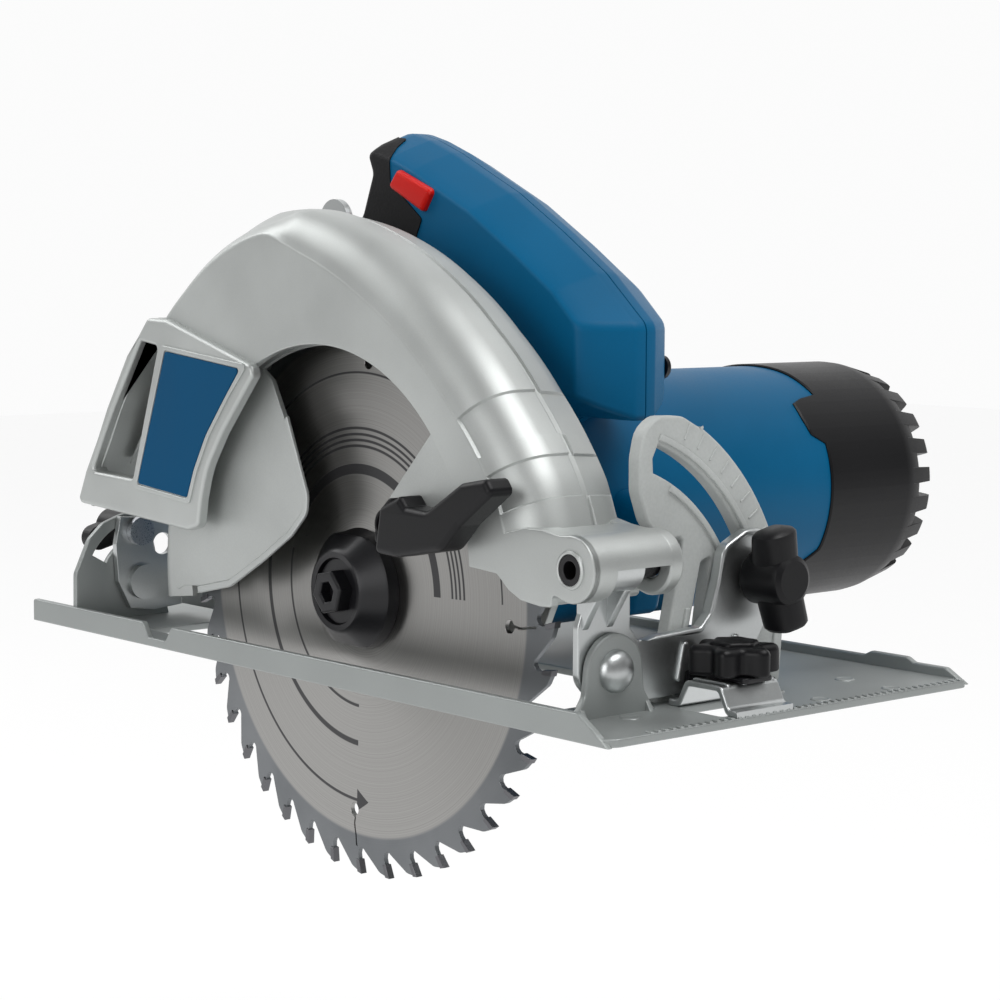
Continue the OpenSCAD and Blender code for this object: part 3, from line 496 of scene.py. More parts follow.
# ---------- upper guard ----------
# tables of (angle in degrees about CROWN, millimetres): the crown's radius, the radius of its rounded
# shoulder, and the edge of its slanted side at the rear
CROWN_R = [(17.5, 145), (25, 145), (30, 143.5), (38, 141), (49, 139.3), (61, 139.3), (73, 140),
           (84, 141), (97, 141), (104, 139), (112, 132.5), (121, 122)]
FILLET_R = [(17.5, 14), (66, 14), (74, 13), (80, 12), (84, 10.5), (90, 9), (121, 3)]
EDGE_R = [(80, 134), (88, 134), (93, 132), (98, 129.7), (105, 126), (112, 122), (119, 118.6),
          (121, 117.6)]
# angles between which the crown is a little lower
RECESSES = [(37.6, 31), (28.2, 22.9)]


def flare(angle):
    """How far the rounded shoulder has turned into the slanted side that it has at the rear."""
    return min(1.0, max(0.0, (angle - 84.5) / 6))


def crown_section(angle):
    """Closed section of the crown as (radius, y) at one angle."""
    r = table(CROWN_R, angle)
    f = table(FILLET_R, angle)
    edge = table(EDGE_R, angle)
    w = flare(angle)
    drop = 0.8 if any(b < angle < a for a, b in RECESSES) else 0.0
    out = [((1 - w) * (r - f - 1.2) + w * (edge - 1.6), -72),
           ((1 - w) * (r - f - 0.5) + w * (edge - 0.6), -71.8)]
    for k in range(11):
        p = math.radians(9 * k)
        q = k / 10
        round_r = r - f + (f - drop) * math.sin(p)
        round_y = -71.6 + f - (f - drop) * math.cos(p)
        slant_r = edge + 1.2 * (1 - (1 - min(5 * q, 1)) ** 2) + (r - edge - 1.2) * q
        out.append(((1 - w) * round_r + w * slant_r, (1 - w) * round_y + w * (-71.5 + 20 * q)))
    out += [(r - drop, -51.2), (r - drop - 0.3, -50.6), (r - 1.6, -50.2), (r - 1.6, -48.6),
            (r - 0.8 - drop, -48.1), (r - 1.1 - drop, -47.6), (r - 1.9 - drop, -42),
            (r - 2.6 - drop, -38.5), (r - 3.6, -36.9), (r - 5, -36.3)]
    inner = max(f - 3, 0.5)
    out += [(r - 7, -36.3), (r - 7, -39.2), (r - 3.4, -40)]
    for k in range(6, -1, -1):
        p = math.radians(18 * min(k, 5))
        y = -68.8 + inner - inner * math.cos(p) if k < 6 else -68.8 + inner
        slant = edge - 3.8 + (r - edge) * k / 6
        rounded = r - 3.4 - inner + inner * math.sin(p)
        out.append(((1 - w) * rounded + w * slant, (1 - w) * y + w * (-68.8 + 3 * k)))
    foot = (1 - w) * (r - f - 6) + w * (edge - 6)
    return out + [(foot, -68.9), (foot, -71.9)]


def rim_radius(angle):
    """Where the flat outer wall ends under the crown."""
    w = flare(angle)
    return (1 - w) * (table(CROWN_R, angle) - table(FILLET_R, angle)) + w * table(EDGE_R, angle) - 0.9


def upper_guard():
    part = Part()
    first, last = CROWN_R[0][0], CROWN_R[-1][0]
    angles = [first + i * 1.5 for i in range(70)]
    for a, b in RECESSES:
        angles += [a + 0.12, a - 0.12, b + 0.12, b - 0.12]
    angles = sorted(a for a in angles if a < last) + [last]
    part.loft([carried(crown_section(a), CROWN, a) for a in angles])

    # flat outer wall: crown's rim, chip box's side, window and nose, with the chute cut through
    rim = [around(CROWN, rim_radius(a), a) for a in angles[::2] + [last] if a >= 20]
    behind = [(-87, 106), (-94.2, 99.4), (-107.6, 80.8), (-114.8, 69), (-122.4, 57.4), (-127, 48.4),
              (-126, 45.3), (-58, 42.2)]
    window = [p for p in arc(12.5, 29, 78, 164, 16, 60) if p[0] > -62 and p[1] > 42.4]
    front = rnd([(88.3, 43.5, 0), (100.8, 42.7, 2), (106, 38.5, 3), (111.5, 36, 3), (120.2, 35.1, 1),
                 (124.9, 35.4, 1), (124.9, 39.4, 2), (131, 37.4, 0)], 1, 4)[:-1]
    boss = arc(*NOSE, 9.7, -100, 96, 26)
    chute = rnd([(-86.7, 105.4, 1.5), (-75.5, 104, 1.5), (-92.5, 57, 1.5), (-119.5, 58, 1.5),
                 (-112, 70, 20), (-104, 82, 20)], 1.5, 4)
    pin = circle(*NOSE, 4.6, 40)
    nose_top = [(128.5, 56.3), (121, 57.4), (113, 57.3), (107, 55.8)]
    wall = rim + behind + window + front + boss + nose_top
    part.slab([wall, chute, pin], -72, -69, "y", 0.6, 0.4)

    # rear wall and inner wall
    rear = [(-80.4, 114, 1), (-87, 107.3, 4), (-94, 100.4, 4), (-107.4, 81.6, 9), (-114.4, 70, 9),
            (-122.2, 58.3, 9), (-127.4, 48, 2), (-126, 44.6, 1), (-123.4, 44.6, 1), (-124.6, 48.8, 2),
            (-119.7, 57, 9), (-112, 68.5, 9), (-105, 80, 9), (-91.8, 98.2, 4), (-84.5, 104.8, 4),
            (-77.4, 111.8, 1)]
    part.slab([rnd(rear, 1.2, 3)], -71.6, -36.2, "y", 0.6, 1.6)
    inner = [around(CROWN, table(CROWN_R, a) - 5.2, a) for a in angles[::3]]
    inner += [(-84.6, 105.4), (-92, 98.6), (-105.2, 80.6), (-119.9, 57), (-125, 48.4), (-124, 44.5),
              (-78, 44), (-74, 16), (-30, 10), (-24, 1), (38, 1), (48, 14), (84, 20), (95, 42),
              (106, 38.5), (111.5, 36), (122, 36), (123, 52)]
    part.slab([inner, circle(*ARBOR, 22.5, 64)], -39, -36, "y", 0.5, 0.5)

    # nose: two bosses joined by a hood that is open below
    cheek = [(101, 57, 1), (103, 44, 3), (107, 39, 3), (112, 36.2, 3), (120.2, 35.4, 1.5),
             (124.4, 35.8, 1.5), (124.7, 39.4, 1.5), (131, 37.4, 0)]
    low = rnd(cheek, 1.5, 4)[:-1]
    near_top = [(128.5, 56.2), (121, 57.3), (113, 57.2), (107, 55.7)]
    far_top = [(128.5, 56.2), (121, 57), (111, 59), (104, 60)]
    part.slab([low + boss + near_top, pin], -71.5, -62, "y", 0.2, 1.0, 3)
    part.slab([low + boss + far_top, pin], -41.5, -36, "y", 1.0, 1.4, 4)
    roof = [(128.5, 56.4), (119.3, 57.2), (107, 52), (107, 48), (120, 50)]
    hood = arc(*NOSE, 9.65, 0, 96, 14) + roof + arc(*NOSE, 7.9, 140, 0, 18)
    part.slab([hood], -71.5, -36.6, "y", 0.3, 1.2, 3)
    part.turn([(4.6, -72.5), (5.1, -72.7), (5.6, -72.4), (5.9, -71.5), (4.6, -71.5), (4.6, -72.5)],
              *NOSE, "y", 48)

    # chip box over the window's edge
    box = [(-88.2, 107.1, 4), (-81.9, 113.6, 3), (-70, 113.2, 6), (-19.8, 99.4, 3), (-18.6, 96, 2),
           (-26, 88, 20), (-37, 76, 30), (-46.3, 63.3, 30), (-49.6, 53, 20), (-51.4, 43.6, 3),
           (-58, 41.8, 3), (-127.8, 45.8, 2), (-128.7, 48, 1), (-123.7, 58, 12), (-115.9, 69.6, 12),
           (-108.8, 81.5, 12), (-95.4, 100.4, 8)]
    part.slab([rnd(box, 3, 5), chute], -75, -71.3, "y", 1.4, 0.2, 4)
    frame_out = [(-72, 104.5, 1.5), (-20.5, 99.6, 1.5), (-32, 88, 30), (-43.5, 74.5, 30), (-51, 62, 20),
                 (-55.5, 51, 2), (-91, 54, 1.5)]
    frame_in = [(-70, 102.8, 1), (-24.5, 98.2, 1), (-33.7, 88.2, 30), (-45, 75.2, 30), (-52.4, 63, 20),
                (-56.7, 52.8, 1.5), (-88.4, 55.4, 1)]
    part.slab([rnd(frame_out, 1.5, 4), rnd(frame_in, 1.5, 4)], -75.7, -74.6, "y", 0.35, 0.1, 3)
    # ridge inside the chute
    part.slab([[(-95, 86), (-93.4, 87.4), (-113, 60.5), (-114.8, 60.5)]], -62, -39, "y", 0.3, 0.3, 2)
    build(part, "upper_guard", angle=28)
    panel = [(-69.7, 102.4, 1), (-25.5, 98, 1), (-34.2, 88.2, 30), (-45.4, 75.4, 30), (-52.8, 63.2, 20),
             (-57.1, 53.2, 1.5), (-88, 55.8, 1)]
    build(Part().slab([rnd(panel, 1.5, 4)], -75.5, -74.8, "y", 0.25, 0.1, 3), "label_plate")


# ---------- lower guard and its lever ----------

def polar(r, a):
    """The point at a radius and an angle in degrees round the arbor."""
    return around(ARBOR, r, a)


def lower_guard():
    part = Part()
    outside = arc(92.6, -57.1, 7.9, -75, -15, 4)
    within = arc(92.6, -57.1, 6.3, -15, -75, 4)
    section = [(79.5, -65), (92.6, -65)] + outside + [(100.5, -57), (100.5, -40.4), (99.9, -39.7)]
    section += [(24, -39.6), (24, -41.6), (98.9, -41.6), (98.9, -57)] + within
    section += [(92.6, -63.4), (79.5, -63.4)]
    part.loft([carried(section, ARBOR, 28 + 159 * i / 67) for i in range(68)])
    fin = [(-21.4, 94.2, 0), (-14.1, 81.4, 6), (-3.4, 57.5, 4), (-3.7, 52.6, 4), (-11.5, 45.3, 8),
           (-27.6, 35.5, 8), (-46.5, 25.2, 8), (-64.9, 21.2, 8), (-74.3, 20.5, 0)]
    outer = [polar(90, a) for a in range(186, 116, -5)]
    part.slab([rnd(fin + outer, 3, 5)], -65.15, -63.3, "y", 0.3, 0.3, 3)
    lip = rnd(fin, 3, 5)
    back = inset(lip, -2.4 if area(fin) > 0 else 2.4)[::-1]
    part.slab([lip[1:-1] + back[1:-1]], -65.9, -64.8, "y", 0.5, 0.1, 3)
    arm = [polar(90, 30), polar(90, 46), polar(58, 46), polar(38, 46), polar(36, 30), polar(58, 21),
           polar(74, 25)]
    part.slab([rnd(arm, 4, 5)], -65.15, -63.3, "y", 0.3, 0.3, 3)
    hub = [(22.1, -41.6), (22.1, -39.6), (26.5, -39.6), (26.5, -41.6), (22.1, -41.6)]
    part.turn(hub, *ARBOR, "y", 64)
    build(part, "lower_guard")

    lever = Part()
    foot = [(40, 48), (50, 61), (58, 62), (62, 55), (62, 45), (46, 43.5)]
    lever.slab([rnd(foot, 3, 4)], -70, -65.1, "y", 0.8, 0.1, 3)
    post = rnd([(50, 48), (50.5, 56), (57.5, 62.3), (61, 60), (63, 56), (63, 45)], 1.5, 4)
    lever.slab([post, circle(55.4, 53.5, 4.3, 28)], -77.8, -69.8, "y", 0.7, 0.1, 3)
    arm = [(60, 46, 2), (62.5, 60, 2), (72, 64.2, 1.5), (75, 61, 1.5), (84.6, 60.5, 5), (100.5, 70, 3),
           (111.5, 72, 2), (114.6, 68, 2), (99.7, 57.4, 6), (91.5, 49.3, 6), (70, 45.5, 6)]
    lever.slab([rnd(arm, 3, 5)], -85.9, -76.6, "y", 1.9, 0.8, 5)
    build(lever, "guard_lever")


# ---------- blade ----------
TEETH = 40
# half the height between the two flats of the outer flange
FLANGE_FLAT = 18


def saw_blade():
    part = Part()
    pitch = 360 / TEETH
    tooth = [(95, 0), (90.4, -0.085), (90.2, -0.12), (88.6, -0.14), (87.3, -0.12), (86.5, -0.06),
             (86.3, 0.0), (86.5, 0.07), (87.2, 0.13), (92.9, 0.62), (93.4, 0.68), (94.2, 0.84)]
    rim = [around((0, 0), r, (i + u) * pitch) for i in range(TEETH) for r, u in tooth]
    holes = [circle(0, 0, 15, 48)]
    for i in range(4):
        a = math.radians(i * 90 - 3)
        c, sn = math.cos(a), math.sin(a)
        pts = [(74 + 2.1 * math.cos(t), 2.1 * math.sin(t)) for t in
               [math.radians(20 + 320 * k / 18) for k in range(19)]]
        wave = [(76.6, 0.5), (78.6, 0.2), (80.6, 0.6), (82.6, 1.2), (84.4, 1.4), (86.1, 1.8)]
        pts = [(u, w + 0.35) for u, w in wave][::-1] + pts + [(u, w - 0.35) for u, w in wave]
        holes.append([(u * c - w * sn, u * sn + w * c) for u, w in pts])
    part.slab([rim] + holes, -0.9, 0.9, "y", 0.12, 0.12, 1)
    blade = build(part, "saw_blade")
    blade.location = (ARBOR[0] * MM, BLADE_Y * MM, ARBOR[1] * MM)
    tips = Part()
    for i in range(TEETH):
        corners = ((95, 0.004), (90.4, -0.08), (90.5, -0.19), (94.6, -0.13))
        tips.slab([[polar(r, (i + u) * pitch) for r, u in corners]], -52, -49.4, "y", 0.15, 0.15, 1)
    build(tips, "carbide_tips")

    flange = Part()
    flange.turn([(4.3, -60), (11, -60), (11, -62.2), (12.8, -62.4), (13.6, -62), (14.2, -61.2),
                 (19.2, -56.8), (20, -56), (20, -51.7), (4.3, -51.7), (4.3, -60)], *ARBOR, "y", 80)
    low, high = ARBOR[1] - FLANGE_FLAT, ARBOR[1] + FLANGE_FLAT
    flange.v = [(x, y, max(low, min(high, z))) if y < -51.8 else (x, y, z) for x, y, z in flange.v]
    build(flange, "outer_flange")
    bolt = Part()
    hexagon = [polar(7.6, 60 * k + 12) for k in range(6)]
    socket = [polar(3.5, 60 * k + 12) for k in range(6)]
    bolt.slab([rnd(hexagon, 0.6, 3), rnd(socket, 0.3, 2)], -66, -60.6, "y", 0.8, 0.1, 4)
    bolt.turn([(0, -62), (3.9, -62), (3.9, -60.9), (10.4, -60.9), (10.6, -60.6), (10.6, -60.1),
               (4, -60.1), (4, -34), (0, -34)], *ARBOR, "y", 48)
    build(bolt, "blade_bolt")


# ---------- handle ----------
# outlines of (x, z, corner radius): the shell, the opening for the hand, and the soft grip on its side
OUTER = [(88.5, 84, 2), (88.5, 114, 5), (70, 130, 18), (50, 143, 18), (28, 156, 18), (-2, 170, 18),
         (-14, 174.6, 6), (-27, 178.2, 12), (-37, 172, 5), (-33, 163, 4), (-37, 153, 6), (-42, 145, 10),
         (-72, 103, 12), (-92, 88, 6), (-95, 70, 6), (-86, 62, 6), (-22, 58, 8), (10, 60, 8), (60, 84, 6)]
HAND = [(24, 102, 4), (24, 111, 6), (2, 129, 10), (-8, 134, 5), (-15, 131, 5), (-39, 97, 7), (-38, 89, 4),
        (-32, 85, 4), (-14, 82, 6), (-4, 92, 6), (8, 99, 8)]
GRIP = [(-36, 176.5), (-21.5, 174.8), (-16.5, 168), (-16, 160), (1, 147.6), (-3, 139.5), (-6, 131),
        (-36, 92), (-47, 96), (-70, 100.4), (-80, 112), (-52, 156), (-44, 168)]
# the shell's side: (distance from the middle, inset of the shell, inset of the opening)
SIDE = [(19.5, 8.4, 4.0), (19.4, 7.6, 3.0), (19.0, 7.0, 2.2), (17.6, 6.1, 1.2), (14, 4.1, 0.3),
        (5, 0.5, 0.0), (3.6, 0.05, 0.0), (0.25, 0.0, 0.0), (0.05, 0.35, 0.3)]


def shrunk(points, d):
    """A handle outline moved in by d, whose front end (x over 85) falls back further."""
    out = []
    for p, (x, z) in zip(points, inset([p[:2] for p in points], d)):
        if p[0] > 85:
            z += 0.45 * d if z > 100 else 0
            x -= 0.6 * d
        out.append((x, z, p[2]))
    return rnd(out, 3, 4)


def handle_side(part, sign, levels):
    """Skins one side of the handle, with its outer face closed."""
    outer = turned(OUTER, True)
    hand = turned(HAND, False)
    rows = []
    for y, d, h in levels:
        loops = (shrunk(outer, d), shrunk(hand, h))
        rows.append([part.ring((x, sign * y, z) for x, z in loop) for loop in loops])
    for a, b in zip(rows, rows[1:]):
        for k in range(2):
            part.band(a[k], b[k])
    part.cap(rows[0], "y")
    return rows


def handle_half(sign, name):
    part = Part()
    rows = handle_side(part, sign, SIDE)
    part.cap(rows[-1], "y")
    build(part, name, angle=36)


def inside(p, outline):
    """Whether a point lies inside a closed outline."""
    hit = False
    for a, b in zip(outline, outline[1:] + outline[:1]):
        if (a[1] > p[1]) != (b[1] > p[1]):
            crossing = a[0] + (b[0] - a[0]) * (p[1] - a[1]) / (b[1] - a[1])
            if p[0] < crossing:
                hit = not hit
    return hit


def grip_panel(grip, sign):
    """Adds the piece of the handle's side surface that lies inside GRIP, as a skin with its own thickness."""
    proud, depth = 0.45, 0.6
    skin = Part()
    handle_side(skin, sign, SIDE[:6])
    bm = bmesh.new()
    verts = [bm.verts.new(v) for v in skin.v]
    for f in skin.f:
        if len(set(f)) > 2:
            bm.faces.new([verts[i] for i in f])
    bmesh.ops.remove_doubles(bm, verts=bm.verts, dist=0.001)
    edge = rnd([(*p, 1.2) for p in GRIP], 1.2, 3)
    for a, b in zip(edge, edge[1:] + edge[:1]):
        geom = bm.verts[:] + bm.edges[:] + bm.faces[:]
        bmesh.ops.bisect_plane(bm, geom=geom, plane_co=(a[0], 0, a[1]),
                               plane_no=(b[1] - a[1], 0, a[0] - b[0]), dist=0.0005)
    beyond = []
    for f in bm.faces:
        middle = f.calc_center_median()
        if not inside((middle.x, middle.z), edge):
            beyond.append(f)
    bmesh.ops.delete(bm, geom=beyond, context="FACES")
    bmesh.ops.remove_doubles(bm, verts=bm.verts, dist=0.02)
    bmesh.ops.recalc_face_normals(bm, faces=bm.faces)
    facing = sum(f.normal.y * f.calc_area() for f in bm.faces)
    if facing * sign < 0:
        bmesh.ops.reverse_faces(bm, faces=bm.faces)
    bm.normal_update()
    bm.verts.index_update()
    first = len(grip.v)
    normals = [v.normal.copy() for v in bm.verts]
    grip.v += [tuple(v.co + n * proud) for v, n in zip(bm.verts, normals)]
    grip.v += [tuple(v.co - n * depth) for v, n in zip(bm.verts, normals)]
    count = len(bm.verts)
    for f in bm.faces:
        ids = [v.index + first for v in f.verts]
        grip.f.append(tuple(ids))
        grip.f.append(tuple(i + count for i in reversed(ids)))
    for e in bm.edges:
        if e.is_boundary:
            a, b = e.verts[0].index + first, e.verts[1].index + first
            grip.f.append((a, b, b + count, a + count))
    bm.free()


def handle_parts():
    handle_half(-1, "handle_right")
    handle_half(1, "handle_left")
    grip = Part()
    for sign in (-1, 1):
        grip_panel(grip, sign)
    build(grip, "handle_grip", angle=30)

    button = Part()
    face = [(-15.5, 158.5, 1.5), (-10.5, 164.2, 1.5), (8.1, 156.8, 1.5), (3.1, 149.6, 1.5)]
    button.slab([rnd(face, 1.5, 4)], -21.8, -14, "y", 1.6, 0.3, 3)
    build(button, "lock_off_button", angle=25)


# ---------- motor ----------
# (angle in degrees, y) of the edge where the black cowl meets the blue housing
COWL_EDGE = [(-180, 106), (-36, 107), (-34, 109), (-29, 112.8), (23, 113.2), (28, 107.2), (37, 106),
             (47, 106.2), (50, 120), (58, 119.4), (69, 118.5), (77, 117.2), (85, 115.2), (100, 112),
             (180, 106)]


def motor_parts():
    part = Part()
    part.turn([(40, -33), (42, -33), (42.5, -32.4), (42.5, 121.6), (42.1, 122.4), (40, 122.8), (40, -33)],
              *MOTOR, "y", 128)
    part.slab([circle(14, 51, 9, 40), circle(14, 51, 6.2, 32)], 62, 84, "x", 0.4, 1.4, 4)
    wedge = [(56, 18, 3), (66, 18, 3), (70, 34, 4), (63, 48, 3), (54, 48, 3)]
    part.slab([rnd(wedge, 3, 4)], 14, 30, "y", 4, 4, 4)
    build(part, "motor_housing")

    cowl = Part()
    fins = 24
    rings = []
    for i in range(fins):
        for start, stop, end_y, end_r in ((0.03, 0.53, 171.4, 39.6), (0.55, 1.01, 163.5, 41.2)):
            for k in range(4):
                turn = 360 * (i + start + (stop - start) * k / 3) / fins
                edge_y = table(COWL_EDGE, turn - 360 if turn > 180 else turn)
                section = [(42.55, edge_y), (42.9, edge_y), (43.3, edge_y + 0.7), (43.3, 154),
                           (42.9, 157.8), (end_r + 0.5, end_y - 1.6), (end_r - 0.3, end_y - 0.3),
                           (end_r - 1.6, end_y), (34.5, end_y - 0.2), (34.2, end_y - 0.8), (33, 161),
                           (33, 155)]
                rings.append(carried(section, MOTOR, turn))
    cowl.loft(rings + rings[:1], caps=False)
    cowl.turn([(0, 163.5), (33.5, 163.5), (33.5, 159), (0, 159)], *MOTOR, "y", 72)
    build(cowl, "fan_cowl", angle=25)


# ---------- base plate, brackets and knobs ----------

def base_parts():
    part = Part()
    sole = [(-156, -78, 3), (156, -78, 5), (156, 78, 3), (-156, 78, 3)]
    slot = [(-97, -66, 2), (112, -66, 2), (112, -6, 2), (-97, -6, 2)]
    window = [(132.5, -28, 1), (150.5, -28, 1), (150.5, 0, 1), (132.5, 0, 1)]
    part.slab([rnd(sole, 3, 5), rnd(slot, 2, 4), rnd(window, 1, 3)], 0, 2.5, "z", 0.5, 0.5, 3)
    flange = [(-156, 0, 0), (-156, 8, 1), (-81, 8, 2), (-77.5, 3, 2), (-66.5, 3, 2), (-63, 8, 2),
              (143, 8.4, 3), (151, 3.5, 3), (155.5, 0, 0)]
    part.slab([rnd(flange, 2, 5)], -78.5, -75.9, "y", 0.6, 0.7, 4)
    far = [(-146, 1, 0), (-136, 5.5, 2), (114, 5.5, 2), (117, 7, 2), (132, 7, 2), (135, 5.5, 2),
           (148, 5.5, 2), (156, 1, 0)]
    part.slab([rnd(far, 2, 4)], 76.0, 78.5, "y", 0.7, 0.7, 3)
    ear = [(-73, 0.5, 0), (-66.5, 3, 4), (-62.5, 9, 4)] + arc(*BEVEL, 11, 172, 8, 18)
    ear += [(-39, 9, 4), (-35, 3, 4), (-28.5, 0.5, 0)]
    part.slab([rnd(ear, 0.01, 3), circle(*BEVEL, 3.9, 32)], 127, 129.5, "x", 0.5, 0.7, 3)
    for s in (-1, 1):
        gusset = [(129.2, 1.5), (132, 1.5), (129.2, 6)]
        y = BEVEL[0] + 13 * s
        part.slab([gusset], y - 0.8, y + 0.8, "y", 0.3, 0.3, 2)
    rear = [(-77.4, 0.5, 0), (-77.2, 20, 5), (-71.5, 32.3, 6), (-65.6, 37.8, 6), (-57, 40.8, 5),
            (-49.5, 40, 4), (-44, 30, 6), (-40, 12, 3), (-37, 0.5, 0)]
    curve = arc(*BEVEL, 22.2, 84, 151, 18) + arc(*BEVEL, 15.8, 151, 84, 14)
    part.slab([rnd(rear, 4, 5), curve], -129.5, -127, "x", 0.6, 0.6, 3)
    for i in range(47):
        y = -62 + 2.95 * i
        mark = [(153.6, y), (155.8, y), (155.8, y + 1.4), (153.6, y + 1.4)]
        part.slab([mark], 1.8, 2.95, "z", 0, 0.2, 1)
    dimple = [(0, 2.7), (2.1, 2.7), (2.6, 2.9), (3.1, 2.7), (3.3, 2.4), (0, 2.4)]
    for x, y in ((131, 47.5), (151, 46.5), (150, 15), (132, 14), (135, -50)):
        part.turn(dimple, x, y, "z", 28)
    build(part, "base_plate", angle=30)

    quad = Part()
    head = [(-9.8, 83.9), (-18, 88, 8), (-28, 88.3, 8), (-33.8, 84.5, 8), (-35.7, 76, 8), (-35.6, 66, 8),
            (-32, 56.4, 8), (-23.7, 49.9, 5), (-16.4, 53, 3)]
    legs = [(-20.8, 33), (-27.5, 3), (-19, 3), (-14.8, 21.2), (-9.4, 43.5, 1), (-5.3, 45, 1),
            (-8.8, 22.8), (-12, 3), (-5, 3), (-3.1, 19.1), (-0.4, 37.3)]
    front_leg = [(3, 18), (5, 2.8), (26, 2.8), (27.4, 20)]
    outer = arc(*BEVEL, 80, 14, 60, 30) + head + legs + arc(*BEVEL, 52, 22, 16, 6) + front_leg
    slot = arc(*BEVEL, 68.2, 17, 70.5, 30) + [(-30, 75.8)] + arc(*BEVEL, 59.8, 69.5, 17, 26)
    quad.slab([rnd(outer, 2, 3), slot], 118, 123, "x", 0.6, 0.9, 4)
    # raised edges of the slot and the marks of the scale
    for r0, r1, stop in ((71.4, 69.4, 71), (58.8, 57, 62)):
        start = 15 if r0 > 60 else 17
        ridge = arc(*BEVEL, r0, start, stop, 30) + arc(*BEVEL, r1, stop, start, 30)
        quad.slab([ridge], 122.8, 123.8, "x", 0.1, 0.4, 3)
    half = math.degrees(0.004)
    corners = ((73.5, -half), (78.5, -half), (78.5, half), (73.5, half))
    for k in range(10):
        mark = [around(BEVEL, r, 18 + 5 * k + t) for r, t in corners]
        quad.slab([mark], 122.7, 123.35, "x", 0, 0.1, 1)
    for y0, y1, top in ((9.5, 12.5, 26), (20.5, 23.5, 26), (-21.6, -16.4, 30), (-8.6, -4.6, 34)):
        quad.slab([[(y0, 4), (y0 + 1.8, 4), (y1 + 1.8, top), (y1, top)]], 122.5, 123.9, "x", 0.1, 0.5, 2)
    toe = rnd([(114, -28), (123, -28), (123, -3), (114, -3)], 1.5, 3)
    foot = rnd([(104, -4), (123, -4), (123, 26), (104, 26)], 2, 3)
    bolt_holes = [circle(110, 3, 2.7, 24), circle(110, 20, 2.7, 24)]
    for loops in ([toe], [foot] + bolt_holes):
        quad.slab(loops, 2.5, 5.5, "z", 0.1, 0.6, 3)
    build(quad, "bevel_quadrant")

    lug = Part()
    plate = [(-63, 13, 6), (-56, 5.5, 6), (-45, 4.2, 6), (4, 6, 4), (17, 26, 4), (17, 46, 6),
             (11, 51, 5), (4.2, 51, 4), (-4.4, 47, 3), (-6.4, 38, 5), (-9.6, 28, 3), (-14.6, 23, 5),
             (-39, 23, 2), (-42.3, 27, 1), (-42.3, 42, 1), (-61.5, 42, 1), (-61.5, 33, 1), (-63, 29, 4)]
    holes = [circle(*BEVEL, 4.1, 32), circle(*WING_KNOB, 3.3, 24)]
    lug.slab([rnd(plate, 3, 4)] + holes, 124.2, 126.7, "x", 0.4, 0.6, 3)
    lip = [(17, 44), (11, 51), (4.2, 51), (-4.4, 47), (-6.4, 38), (-9.6, 28), (-14.6, 23), (-39, 23)]
    lip = [(p[0], p[1], 4) for p in lip]
    path = rnd([(20, 40, 0)] + lip + [(-40, 20, 0)], 4, 5)[6:-6]
    lug.slab([path + inset(path, 1.9 if area(path) > 0 else -1.9)[::-1]], 125.5, 129.2, "x", 0.2, 0.8, 3)
    for y in (-24, -2):
        rib = rnd([(y, 9), (y + 2.6, 9), (y + 5.2, 21), (y + 2.8, 21)], 1.2, 4)
        lug.slab([rib], 126.4, 127.9, "x", 0.1, 0.8, 3)
    for y in (-61.6, -51.9):
        side = [(124.2, 28), (126.8, 28), (130.5, 34), (134.5, 39.8), (126.5, 53), (124.2, 46)]
        lug.slab([rnd(side, 1.2, 3)], y, y + 2.5, "y", 0.4, 0.4, 3)
    lug.turn([(4.6, -61.6), (7, -61.6), (7.5, -61.1), (7.5, -49.9), (7, -49.4), (4.6, -49.4),
              (4.6, -61.6)], *NOSE, "y", 48)
    build(lug, "front_bracket")

    rivets = Part()
    dome = [(6.4 * math.cos(math.radians(10 * k)), 129.5 + 4.0 * math.sin(math.radians(10 * k)))
            for k in range(9)]
    rivets.turn([(0, 123), (4, 123), (4, 129.5)] + dome + [(0, 133.5)], *BEVEL, "x", 48)
    rivets.turn([(0, -122), (6.4, -122), (6.4, -125), (4, -125), (4, -129.5), (6, -129.5), (5.6, -131.3),
                 (0, -131.5)], *BEVEL, "x", 48)
    build(rivets, "bevel_rivets")

    strap = Part()
    path = [(127.2, 4.3, 0), (130.9, 4.3, 2), (134.2, 11, 2.5), (148.8, 11, 2.5), (152.1, 4.3, 2),
            (155.6, 4.3, 0)]
    low = [(155.6, 2.5, 0), (150.9, 2.5, 2.5), (147.4, 9.2, 1.2), (135.6, 9.2, 1.2), (132.1, 2.5, 2.5),
           (127.2, 2.5, 0)]
    strap.slab([rnd(path + low, 1, 4)], -27, -3, "y", 0.5, 0.5, 3)
    for y in (-24, -17.5, -8, -5.5):
        ridge = [(131.4, 4.6, 1), (134.6, 11.2, 1.5), (148.4, 11.2, 1.5), (151.6, 4.6, 1),
                 (150.6, 4.4, 1), (147.6, 10.4, 1.5), (135.4, 10.4, 1.5), (132.4, 4.4, 1)]
        strap.slab([rnd([(p[0], p[1] + 0.35, p[2]) for p in ridge], 1, 3)], y, y + 1.4, "y", 0.3, 0.3, 2)
    build(strap, "guide_bridge")

    clamp = Part()
    strip = rnd([(128, -20), (152, -20), (152, -8), (128, -8)], 1.5, 4)
    clamp.slab([strip, circle(*GUIDE_KNOB, 3.4, 28)], 11.2, 12.8, "z", 0.3, 0.4, 3)
    tongue = [(126.6, 5.5), (128.4, 5.5), (128.8, 11), (131, 12.6), (129, 12.7), (127, 12)]
    clamp.slab([rnd(tongue, 0.6, 3)], -19.8, -8.2, "y", 0.3, 0.3, 2)
    build(clamp, "guide_clamp")


